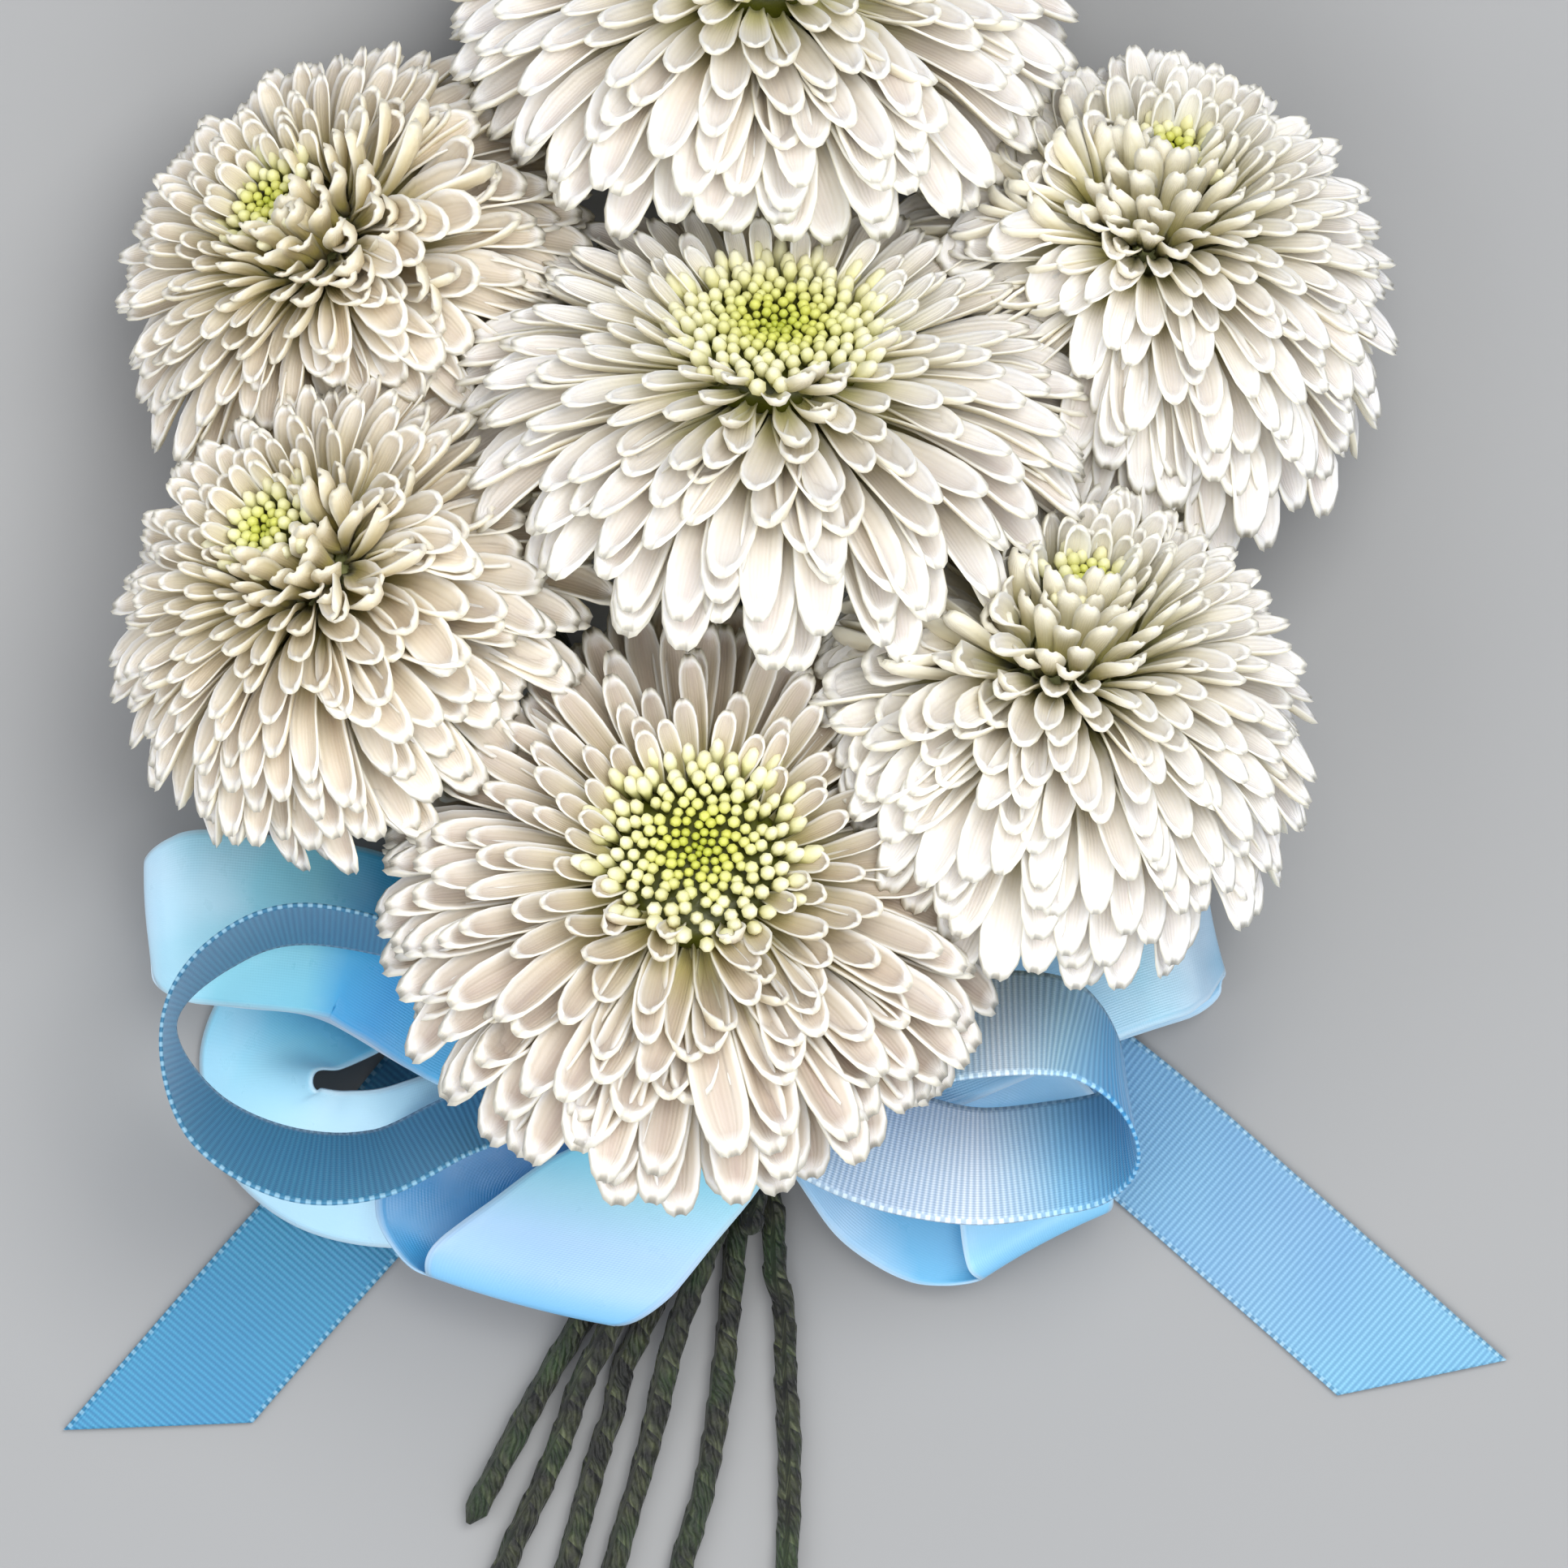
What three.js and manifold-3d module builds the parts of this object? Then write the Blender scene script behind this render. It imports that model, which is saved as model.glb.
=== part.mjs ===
// A bunch of seven white chrysanthemums on taped wire stems, tied with a light-blue ribbon bow.
// It lies on its back: +X to the right, +Y towards the heads, +Z up. Millimetres.
import * as THREE from 'three';
import { mergeVertices } from 'three/addons/utils/BufferGeometryUtils.js';
import Module from 'manifold-3d';

const wasm = await Module();
wasm.setup();

// ---- driving dimensions ----
const touchGap = 0.3; // left between pieces that touch
const headHeight = 21; // from the plane of the outermost petals to the top of the disc
const discRadius = 9.2;
const petalThickness = 1.2; // at the midrib
const calyxDepth = 15; // from the plane of the outermost petals to the top of the stem
const stemRadius = 1.55;
const satinWidth = 20;
const ribbedWidth = 16;
const ribbonThickness = 0.8;
const facetTolerance = 0.05;

// Each head: centre of its outermost petals, lean of its axis away from +Z, radius, and how far the
// outermost tips hang below the centre, as a share of the head's height.
const blooms = [
  { name: 'top', centre: [-2, 86, 24], toward: [0, 1], lean: 50, radius: 32.5, skirt: 0.28 },
  { name: 'upper_left', centre: [-48, 56, 20], toward: [-0.72, 0.69], lean: 48, radius: 28, skirt: 0.28 },
  { name: 'lower_left', centre: [-48, 18.5, 35], toward: [-0.72, 0.69], lean: 48, radius: 28, skirt: 0.28 },
  { name: 'upper_right', centre: [39.5, 53, 21.5], toward: [0.25, 0.97], lean: 50, radius: 28.7, skirt: 0.28 },
  { name: 'lower_right', centre: [29.5, 5, 35], toward: [0.25, 0.97], lean: 50, radius: 28.7, skirt: 0.28 },
  { name: 'middle', centre: [-1.2, 40, 38], toward: [0.05, 1], lean: 53, radius: 33, skirt: 0.28 },
  { name: 'bottom', centre: [-9.7, -13, 43], toward: [0, 1], lean: 26, radius: 34, skirt: 0.12 },
];

// How far one head hangs over its neighbour where they press together, in millimetres of lift.
const overlaps = [
  ['top', 'upper_left', 8],
  ['top', 'upper_right', 8],
  ['middle', 'top', -10],
  ['middle', 'upper_left', 14],
  ['middle', 'upper_right', 14],
  ['middle', 'lower_left', 4],
  ['middle', 'bottom', 12],
  ['lower_left', 'upper_left', 18],
  ['lower_right', 'upper_right', 18],
  ['lower_right', 'bottom', 4],
  ['bottom', 'lower_left', 4],
  ['middle', 'lower_right', 2],
];

// Rows of petals, from the disc outwards. Places are fractions of head radius and head height.
const petalRows = [
  { count: 6, root: [0.33, 0.56], bend: [0.38, 0.92], tip: [0.5, 1.06], width: 6.6, steps: 2 },
  { count: 8, root: [0.31, 0.42], bend: [0.49, 0.88], tip: [0.7, 0.88], width: 9.6, steps: 2 },
  { count: 8, root: [0.3, 0.26], bend: [0.6, 0.62], tip: [0.88, 0.5], width: 13.6, steps: 2 },
  { count: 11, root: [0.28, 0.1], bend: [0.7, 0.22], tip: [1.0, 0], width: 15, steps: 2, skirted: true },
];

const colours = {
  petal: 0xf1ede6,
  disc: 0xc3c65a,
  calyx: 0x5d7038,
  tape: 0x3c4530,
  satin: 0x9fd9f2,
  ribbed: 0x6db4dc,
};

// ---- small helpers ----
const vector = (values) => new THREE.Vector3(...values);

function seededRandom(seed) {
  let state = seed;
  return () => {
    state = (state * 1664525 + 1013904223) % 4294967296;
    return state / 4294967296;
  };
}

function material(colour, roughness) {
  return new THREE.MeshStandardMaterial({ color: colour, roughness, metalness: 0 });
}

function closedGeometry(points, faces) {
  const geometry = new THREE.BufferGeometry();
  geometry.setAttribute('position', new THREE.Float32BufferAttribute(points.flat(), 3));
  geometry.setIndex(faces.flat());
  return geometry;
}

function toSolid(geometry) {
  const bare = geometry.clone();
  bare.deleteAttribute('normal');
  bare.deleteAttribute('uv');
  const merged = mergeVertices(bare, 1e-4);
  const vertProperties = new Float32Array(merged.attributes.position.array);
  const triVerts = new Uint32Array(merged.index.array);
  return new wasm.Manifold(new wasm.Mesh({ numProp: 3, vertProperties, triVerts }));
}

function fromSolid(solid) {
  const mesh = solid.getMesh();
  const geometry = new THREE.BufferGeometry();
  geometry.setAttribute('position', new THREE.BufferAttribute(mesh.vertProperties.slice(), 3));
  geometry.setIndex(new THREE.BufferAttribute(mesh.triVerts.slice(), 1));
  return geometry;
}

function largestPiece(solid) {
  const pieces = solid.decompose();
  return pieces.reduce((best, piece) => (piece.volume() > best.volume() ? piece : best));
}

// Keeps the one body, without loose scraps, slivers or hollows that the joining sealed.
function oneBody(solid) {
  const plain = largestPiece(solid).simplify(facetTolerance);
  const welded = mergeVertices(fromSolid(plain), 1e-3);
  return fromSolid(largestPiece(toSolid(welded)));
}

// ---- frames and dividing planes of the heads ----
for (const bloom of blooms) {
  const lean = THREE.MathUtils.degToRad(bloom.lean);
  const side = new THREE.Vector2(...bloom.toward).normalize();
  bloom.middle = vector(bloom.centre);
  bloom.axis = new THREE.Vector3(side.x * Math.sin(lean), side.y * Math.sin(lean), Math.cos(lean));
  bloom.across = new THREE.Vector3(0, 1, 0).cross(bloom.axis).normalize();
  bloom.along = bloom.axis.clone().cross(bloom.across);
  const floorPlane = { normal: new THREE.Vector3(0, 0, 1), offset: 0.1, slide: new THREE.Vector3() };
  bloom.planes = [floorPlane];
}

const bloomNamed = Object.fromEntries(blooms.map((bloom) => [bloom.name, bloom]));

for (const [frontName, backName, lift] of overlaps) {
  const front = bloomNamed[frontName];
  const back = bloomNamed[backName];
  const normal = front.middle.clone().sub(back.middle);
  normal.z += lift;
  normal.normalize();
  const share = back.radius / (front.radius + back.radius);
  const between = back.middle.clone().lerp(front.middle, share);
  between.addScaledVector(front.axis, 2).addScaledVector(back.axis, 2);
  const offset = normal.dot(between);
  const uphill = new THREE.Vector3(0, 0, 1).addScaledVector(normal, -normal.z).normalize();
  front.planes.push({ normal: normal.clone(), offset: offset + touchGap / 2, slide: uphill.clone() });
  back.planes.push({ normal: normal.clone().negate(), offset: -offset + touchGap / 2, slide: uphill.clone().negate() });
}

// A point of a head from polar radius, angle and height over the outermost petals.
function headPoint(bloom, radius, angle, height) {
  return bloom.middle
    .clone()
    .addScaledVector(bloom.across, radius * Math.cos(angle))
    .addScaledVector(bloom.along, radius * Math.sin(angle))
    .addScaledVector(bloom.axis, height);
}

// ---- petals ----
// Moves a point of a petal clear of the planes round its head: the head in front lifts its petals over the
// other one, which lowers its own.
function clearOf(planes, point, reach) {
  const slideShare = 0.6;
  const clear = point.clone();
  for (const plane of [...planes, ...planes]) {
    const blocked = plane.offset + reach - plane.normal.dot(clear);
    if (blocked > 0) {
      clear.addScaledVector(plane.normal, blocked).addScaledVector(plane.slide, slideShare * blocked);
    }
  }
  return clear;
}

// One closed blade of three-cornered section, narrow at the root, widest past the middle, blunt at the tip.
function petalBlade(line, up, width) {
  const widthAt = [0.3, 1, 0.76];
  const rim = 0.2;
  const points = [];
  for (let index = 0; index < line.length; index += 1) {
    const before = line[Math.max(index - 1, 0)];
    const after = line[Math.min(index + 1, line.length - 1)];
    const forward = after.clone().sub(before).normalize();
    const side = forward.clone().cross(up).normalize();
    const lift = side.clone().cross(forward).normalize();
    const half = (width * widthAt[index]) / 2;
    const place = (across, raise) =>
      line[index].clone().addScaledVector(side, across).addScaledVector(lift, raise).toArray();
    points.push(place(-half, rim), place(half, rim), place(0, rim - petalThickness));
  }
  const last = (line.length - 1) * 3;
  const faces = [
    [0, 2, 1],
    [last, last + 1, last + 2],
  ];
  for (let index = 0; index < line.length - 1; index += 1) {
    for (let corner = 0; corner < 3; corner += 1) {
      const here = index * 3 + corner;
      const beside = index * 3 + ((corner + 1) % 3);
      faces.push([here, beside + 3, here + 3], [here, beside, beside + 3]);
    }
  }
  return closedGeometry(points, faces);
}

function petalLine(bloom, row, angle, draw) {
  const reach = 1 + (draw - 0.5) * 0.08;
  const { radius } = bloom;
  const profile = [row.root, row.bend, row.tip].map(
    ([r, h]) => new THREE.Vector2(r * radius * (r > 0.4 ? reach : 1), h * headHeight),
  );
  profile[2].y -= row.skirted ? bloom.skirt * headHeight : 0;
  const places = profile.map((p, index) => clearOf(bloom.planes, headPoint(bloom, p.x, angle, p.y), 0.8 + 0.7 * index));
  return new THREE.QuadraticBezierCurve3(...places).getPoints(row.steps);
}

// The solid heart that the petals grow from, well under their tips.
function headCore(bloom) {
  const profile = [
    [0, 0],
    [0.26, 0],
    [0.37, 0.13],
    [0.39, 0.42],
    [0.37, 0.66],
    [0, 0.66],
  ];
  const outline = profile.map(([r, h]) => new THREE.Vector2(r * bloom.radius, h * headHeight));
  const geometry = new THREE.LatheGeometry(outline, 9);
  geometry.applyMatrix4(axisMatrix(bloom));
  return geometry;
}

// Turns a shape lathed about +Y so that it stands along the head's axis.
function axisMatrix(bloom) {
  const basis = new THREE.Matrix4().makeBasis(bloom.across, bloom.axis, bloom.along.clone().negate());
  return basis.setPosition(bloom.middle);
}

function halfSpace(plane) {
  const size = 400;
  const box = new THREE.BoxGeometry(size, size, size);
  const turn = new THREE.Quaternion().setFromUnitVectors(new THREE.Vector3(0, 0, 1), plane.normal);
  const centre = plane.normal.clone().multiplyScalar(plane.offset + size / 2);
  box.applyMatrix4(new THREE.Matrix4().compose(centre, turn, new THREE.Vector3(1, 1, 1)));
  return toSolid(box);
}

function lathed(bloom, profile, sides) {
  const outline = profile.map(([r, h]) => new THREE.Vector2(r, h));
  const geometry = new THREE.LatheGeometry(outline, sides);
  geometry.applyMatrix4(axisMatrix(bloom));
  return geometry;
}

function petalHead(bloom, number) {
  const random = seededRandom(101 + number * 17);
  const solids = [toSolid(headCore(bloom))];
  petalRows.forEach((row, rowNumber) => {
    for (let index = 0; index < row.count; index += 1) {
      const stagger = rowNumber * 0.5 + (random() - 0.5) * 0.3;
      const angle = ((index + stagger) / row.count) * Math.PI * 2;
      const line = petalLine(bloom, row, angle, random());
      const up = bloom.axis.clone().addScaledVector(headPoint(bloom, 1, angle, 0).sub(bloom.middle), -0.2);
      solids.push(toSolid(petalBlade(line, up, row.width)));
    }
  });
  let head = wasm.Manifold.union(solids);
  const wellRadius = discRadius + touchGap + 0.2;
  const wellFloor = headHeight * 0.6;
  const well = lathed(bloom, [[0, wellFloor], [wellRadius, wellFloor], [wellRadius, 40], [0, 40]], 16);
  head = head.subtract(toSolid(well));
  const seat = lathed(bloom, [[0, -20], [7.5, -20], [7.5, 0.2], [0, 0.2]], 12);
  head = head.subtract(toSolid(seat));
  for (const plane of bloom.planes) {
    head = head.intersect(halfSpace(plane));
  }
  return oneBody(head);
}

// ---- disc of closed florets ----
function discKnob(bloom, radius, angle, height, size) {
  const knob = new THREE.ConeGeometry(size, size * 2.4, 4);
  knob.rotateZ(-radius * 0.06);
  knob.translate(radius, height, 0);
  knob.rotateY(angle);
  knob.applyMatrix4(axisMatrix(bloom));
  return toSolid(knob);
}

function floretDisc(bloom) {
  const base = headHeight * 0.6 + touchGap;
  const top = headHeight * 0.84;
  const dome = [[0, base], [discRadius - 0.4, base], [discRadius, base + 1.2], [5.5, top - 0.6], [0, top]];
  const solids = [toSolid(lathed(bloom, dome, 9))];
  const rings = [
    { count: 1, radius: 0, height: top + 0.2, size: 1.1 },
    { count: 5, radius: 3.2, height: top + 0.1, size: 1.4 },
    { count: 8, radius: 6.4, height: top - 0.5, size: 1.7 },
  ];
  for (const ring of rings) {
    for (let index = 0; index < ring.count; index += 1) {
      const angle = ((index + ring.radius * 0.13) / ring.count) * Math.PI * 2;
      solids.push(discKnob(bloom, ring.radius, angle, ring.height, ring.size));
    }
  }
  return oneBody(wasm.Manifold.union(solids));
}

// ---- calyx ----
function calyxCup(bloom) {
  const neck = stemRadius + 0.5;
  const profile = [
    [0, -calyxDepth + touchGap],
    [neck, -calyxDepth + touchGap],
    [neck, -calyxDepth * 0.62],
    [4.6, -calyxDepth * 0.36],
    [6.9, -1.5],
    [6.9, -0.1],
    [0, -0.1],
  ];
  return lathed(bloom, profile, 8);
}

// ---- stems ----
const bindingTop = -31;
const bindingFoot = -46;
const lowerLayer = 2.75;
const upperLayer = 5.9;

// Waypoints from the calyx down to the binding, the place in the binding, and those below it.
const stems = [
  {
    name: 'lower_left',
    above: [[-40, 5.5, 15.5], [-30, -4, 8], [-18.5, -18, 3.4]],
    bundle: [-12.4, lowerLayer],
    below: [[-13.6, -50.5, 2.7], [-17.5, -55.5, 2.3], [-23.8, -62.6, 1.9], [-36.5, -85.4, 1.65]],
  },
  {
    name: 'upper_left',
    above: [[-37, 39, 2.4], [-30, 24, 1.8], [-20, 2, 3], [-13, -16, 5]],
    bundle: [-10.6, upperLayer],
    below: [[-13.5, -53, 5.6], [-20.3, -63.2, 4.2], [-26.8, -77.5, 1.7], [-34, -95, 1.6]],
  },
  {
    name: 'top',
    above: [[-1, 68, 4.4], [-1.8, 50, 1.9], [-4, 20, 1.9], [-7.4, -12, 2.4]],
    bundle: [-8.75, lowerLayer],
    below: [[-10.4, -53, 2.5], [-17, -63.8, 1.8], [-21.1, -76.6, 1.6], [-27.2, -97, 1.6]],
  },
  {
    name: 'bottom',
    above: [[-9.3, -20, 19], [-8.3, -24, 10.5]],
    bundle: [-7, upperLayer],
    below: [[-8.3, -53, 5.6], [-11.8, -61.5, 4.3], [-15.4, -75.1, 2], [-21.6, -98, 1.65]],
  },
  {
    name: 'middle',
    above: [[-2, 22, 18], [-2.6, 9, 10], [-3.6, -10, 4.6]],
    bundle: [-5.15, lowerLayer],
    below: [[-5.5, -53, 2.4], [-6.3, -63.8, 1.7], [-9.1, -79.4, 1.6], [-13.1, -97, 1.6]],
  },
  {
    name: 'upper_right',
    above: [[31, 33, 2.3], [22, 17, 1.9], [10, 0, 3], [1, -16, 5]],
    bundle: [-3.4, upperLayer],
    below: [[-3.6, -52, 5.7]],
  },
  {
    name: 'lower_right',
    above: [[22.5, -10.5, 14.5], [14, -15, 8], [4.5, -21.5, 3.6]],
    bundle: [-1.6, lowerLayer],
    below: [[-0.9, -55, 2.4], [-0.1, -62.4, 1.8], [0.6, -74, 1.6], [-0.2, -100, 1.6]],
  },
];

function tapedStem({ name, above, bundle, below }) {
  const bloom = bloomNamed[name];
  const [x, z] = bundle;
  const top = bloom.middle.clone().addScaledVector(bloom.axis, -calyxDepth);
  const underTop = top.clone().addScaledVector(bloom.axis, -3.5);
  const points = [top, underTop, ...above.map(vector)];
  const inBinding = [bindingTop + 3, bindingTop - 2, bindingFoot + 2, bindingFoot - 1.5];
  points.push(...inBinding.map((y) => vector([x, y, z])), ...below.map(vector));
  const path = new THREE.CatmullRomCurve3(points, false, 'centripetal');
  const circle = new THREE.Shape().absarc(0, 0, stemRadius, 0, Math.PI * 2);
  const steps = Math.round(path.getLength() / 9.5);
  return new THREE.ExtrudeGeometry(circle, { steps, curveSegments: 4, bevelEnabled: false, extrudePath: path });
}

function roundedOutline(Kind, left, right, low, high, corner) {
  const outline = new Kind();
  outline.absarc(right - corner, low + corner, corner, -Math.PI / 2, 0);
  outline.absarc(right - corner, high - corner, corner, 0, Math.PI / 2);
  outline.absarc(left + corner, high - corner, corner, Math.PI / 2, Math.PI);
  outline.absarc(left + corner, low + corner, corner, Math.PI, Math.PI * 1.5);
  return outline;
}

function stemBinding() {
  const wall = 0.8;
  const [left, right, low, high] = [-15.2, 1.2, 0.05, 8.6];
  const outline = roundedOutline(THREE.Shape, left, right, low, high, 3);
  outline.holes.push(roundedOutline(THREE.Path, left + wall, right - wall, low + wall, high - wall, 2.2));
  const depth = bindingTop - bindingFoot;
  const ring = new THREE.ExtrudeGeometry(outline, { depth, curveSegments: 3, bevelEnabled: false });
  ring.rotateX(Math.PI / 2);
  ring.translate(0, bindingTop, 0);
  return ring;
}

// ---- ribbons ----
const knot = { left: -14, right: -2, foot: -40, head: -28, low: 8.9, high: 30.5 };
const leftFace = knot.left;
const rightFace = knot.right;
const footFace = knot.foot;

function bowKnot() {
  const outline = roundedOutline(THREE.Shape, knot.foot, knot.head, knot.low, knot.high, 4);
  const depth = knot.right - knot.left;
  const wrap = new THREE.ExtrudeGeometry(outline, { depth, curveSegments: 3, bevelEnabled: false });
  wrap.rotateX(Math.PI / 2);
  wrap.rotateZ(Math.PI / 2);
  wrap.translate(knot.left, 0, 0);
  return wrap;
}

// Stations of a ribbon: centre [x, y, z], direction across it [x, y, z], and its width there as a share of
// the full one. A slanted fold runs across the ribbon at an angle, so the stations by it are wider.
const gathered = 0.45;
const ribbons = [
  {
    name: 'ribbon_left_front_loop',
    kind: 'ribbed',
    stations: [
      [[leftFace, -33, 25.2], [0, 0.05, 1], 0.55],
      [[-24.5, -27.5, 27], [0, 0.2, 1], 1],
      [[-36, -20.6, 28], [0, 0.24, 1], 1],
      [[-54, -16, 28], [-0.02, 0.3, 1], 1],
      [[-64.5, -19.5, 28], [-0.12, 0.2, 1], 1],
      [[-70.3, -27.5, 28], [-0.07, 0, 1], 1],
      [[-66.3, -37.7, 28], [-0.18, -0.33, 1], 1],
      [[-57, -43.2, 28], [-0.05, -0.55, 1], 1],
      [[-46.6, -43.4, 28], [0.06, -0.52, 1], 1],
      [[-36, -38.6, 27.5], [0.08, -0.45, 1], 1],
      [[-25, -36.4, 26.5], [0, -0.25, 1], 0.9],
      [[leftFace, -35.2, 25.2], [0, -0.05, 1], 0.55],
    ],
  },
  {
    name: 'ribbon_left_back_loop',
    kind: 'satin',
    stations: [
      [[leftFace, -34, 18], [0, -1, 0], gathered],
      [[-32, -26.8, 16.8], [-0.5, -0.85, 0], 1],
      [[-44, -20.2, 16], [-0.45, -0.88, 0], 1],
      [[-50.5, -17, 16], [-0.15, -0.98, 0], 1],
      [[-64.5, -15.4, 15.8], [0.04, -1, 0], 1],
      [[-70.6, -15, 14.8], [0.08, -1, 0], 0.95],
      [[-73, -14.8, 12.2], [0.08, -1, 0], 0.72],
      [[-70.6, -15.1, 9.8], [0.08, -1, 0], 0.95],
      [[-62, -15.8, 9], [0, -1, 0], 1],
      [[-49.8, -17.8, 9.4], [-0.15, -0.98, 0], 1],
      [[-32, -26.8, 14.2], [-0.5, -0.85, 0], 1],
      [[leftFace, -34, 16.2], [0, -1, 0], gathered],
    ],
  },
  {
    name: 'ribbon_left_lower_loop',
    kind: 'satin',
    stations: [
      [[leftFace, -34, 13], [0, -1, 0], gathered],
      [[-26, -38.5, 8.8], [-0.25, -0.95, 0], 0.9],
      [[-37, -42.6, 7.2], [-0.1, -0.98, -0.1], 1],
      [[-46, -44.2, 7.2], [0, -0.92, -0.38], 1],
      [[-53.5, -43, 7.6], [-0.25, -0.8, -0.54], 1],
      [[-59.2, -39, 8.2], [-0.55, -0.45, -0.7], 1],
      [[-60.6, -33.4, 8.2], [-0.66, 0.05, -0.75], 1],
      [[-57.8, -28.4, 6.5], [-0.62, 0.5, -0.57], 1],
      [[-52.3, -23.4, 5.1], [-0.42, 0.83, -0.36], 1],
      [[-45.2, -19.8, 5], [-0.08, 0.95, -0.3], 1],
      [[-36, -21.8, 5.4], [0.3, 0.93, -0.12], 0.95],
      [[-26, -28, 7.6], [0.35, 0.93, 0], 0.85],
      [[leftFace, -34, 11.5], [0, 1, 0], gathered],
    ],
  },
  {
    name: 'ribbon_centre_loop',
    kind: 'satin',
    slantedFold: true,
    stations: [
      [[-8, footFace, 19.6], [1, -0.05, 0], 0.5],
      [[-13.2, -43.2, 18.6], [0.99, -0.12, 0], 1.15],
      [[-21.4, -50.8, 17.8], [0.98, -0.19, 0], 1.32],
      [[-27.2, -56.4, 16.6], [0.97, -0.24, 0], 1.4],
      [[-29.8, -59.2, 14], [0.96, -0.26, 0], 1.42],
      [[-30, -57.4, 11.4], [0.96, -0.26, 0], 1.4],
      [[-31, -52.2, 10.6], [0.96, -0.28, 0], 1.3],
      [[-31.4, -46.4, 10.8], [0.9, -0.42, 0], 1.1],
      [[-28.4, -41, 12], [0.7, -0.71, 0], 0.8],
      [[-21.5, -37, 13.6], [0.25, -0.97, 0], 0.6],
      [[leftFace, -34.5, 14.6], [0, -1, 0], gathered],
    ],
  },
  {
    name: 'ribbon_right_front_loop',
    kind: 'ribbed',
    stations: [
      [[rightFace, -33.6, 26], [0, -0.95, 0.3], 0.55],
      [[10.6, -29.7, 30], [0, -0.8, 0.6], 1],
      [[20, -27.6, 32], [0, -0.75, 0.66], 1],
      [[30, -27.4, 32], [0, -0.7, 0.7], 1],
      [[35.4, -29.7, 31], [0.05, -0.66, 0.75], 1],
      [[38.8, -34, 28], [0.1, -0.65, 0.76], 1],
      [[39.5, -38.2, 24], [0.1, -0.7, 0.7], 1],
      [[37, -41.4, 20.2], [0, -0.78, 0.62], 1],
      [[31, -42.9, 18.8], [0, -0.8, 0.6], 1],
      [[21.8, -43.8, 18.6], [0, -0.82, 0.57], 1],
      [[12.5, -42, 19.4], [-0.1, -0.86, 0.5], 1],
      [[3.4, -39, 20.6], [-0.1, -0.95, 0.3], 0.8],
      [[rightFace, -36, 21.8], [0, -1, 0], gathered],
    ],
  },
  {
    name: 'ribbon_right_back_loop',
    kind: 'satin',
    stations: [
      [[rightFace, -34, 16.4], [0, -1, 0], gathered],
      [[12.5, -28.7, 13], [0.35, -0.93, 0], 1],
      [[24.5, -24.5, 11.6], [0.35, -0.93, 0], 1],
      [[34.8, -20, 10.8], [0.35, -0.93, 0], 1],
      [[43.2, -17.1, 10.2], [0.25, -0.97, 0], 1],
      [[47.4, -16.2, 9], [0.2, -0.98, 0], 0.95],
      [[49.6, -16, 6.8], [0.2, -0.98, 0], 0.72],
      [[47.4, -16.4, 4.6], [0.2, -0.98, 0], 0.95],
      [[34.8, -20.4, 4.2], [0.35, -0.93, 0], 1],
      [[20, -26, 7], [0.35, -0.93, 0], 1],
      [[8.5, -30.6, 10.8], [0.25, -0.96, 0], 0.8],
      [[rightFace, -34, 13], [0, -1, 0], gathered],
    ],
  },
  {
    name: 'ribbon_right_lower_loop',
    kind: 'satin',
    slantedFold: true,
    stations: [
      [[rightFace, -36, 11.4], [0, 1, 0], gathered],
      [[3.4, -38.4, 9], [0.25, 0.97, 0], 0.75],
      [[11.6, -43.8, 6], [0.55, 0.83, 0], 1],
      [[19.2, -49.2, 4.8], [0.72, 0.69, 0], 1.02],
      [[26, -52.6, 4.8], [0.85, 0.53, 0], 1.04],
      [[29.9, -53.2, 6.8], [0.88, 0.47, 0], 1.06],
      [[29.6, -51.2, 8.9], [0.88, 0.47, 0], 1.04],
      [[29.6, -46.6, 9.4], [0.94, 0.34, 0], 1],
      [[28, -42, 9.5], [0.8, 0.6, 0], 1],
      [[23.6, -38.8, 9.8], [0.4, 0.92, 0], 1],
      [[16, -37, 10.8], [0.1, 1, 0], 0.95],
      [[8, -36, 12.8], [0, 1, 0], 0.8],
      [[rightFace, -35, 14.7], [0, 1, 0], gathered],
    ],
  },
  {
    name: 'ribbon_left_tail',
    kind: 'ribbed',
    endSlant: -7.5,
    stations: [
      [[leftFace, -34, 10], [0, -1, 0], 0.5],
      [[-24, -30.2, 6.2], [-0.1, -1, 0], 0.9],
      [[-31, -29.6, 3.6], [0.3, -0.95, 0], 1],
      [[-38, -34.4, 1.6], [0.77, -0.64, 0], 1],
      [[-47.6, -46, 0.5], [0.77, -0.64, 0], 1],
      [[-60, -60, 0.45], [0.77, -0.64, 0], 1],
      [[-72.3, -74.2, 0.45], [0.77, -0.64, 0], 1],
    ],
  },
  {
    name: 'ribbon_right_tail',
    kind: 'ribbed',
    endSlant: 6,
    stations: [
      [[rightFace, -34, 10], [0, 1, 0], 0.5],
      [[8, -31, 6], [0, 1, 0], 0.9],
      [[18, -29.4, 2.6], [0.15, 0.99, 0], 1],
      [[29, -31.6, 1.4], [0.45, 0.89, 0], 1],
      [[39, -38.3, 0.5], [0.65, 0.76, 0], 1],
      [[56, -53, 0.45], [0.65, 0.76, 0], 1],
      [[73.7, -68.6, 0.45], [0.65, 0.76, 0], 1],
    ],
  },
];

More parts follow.
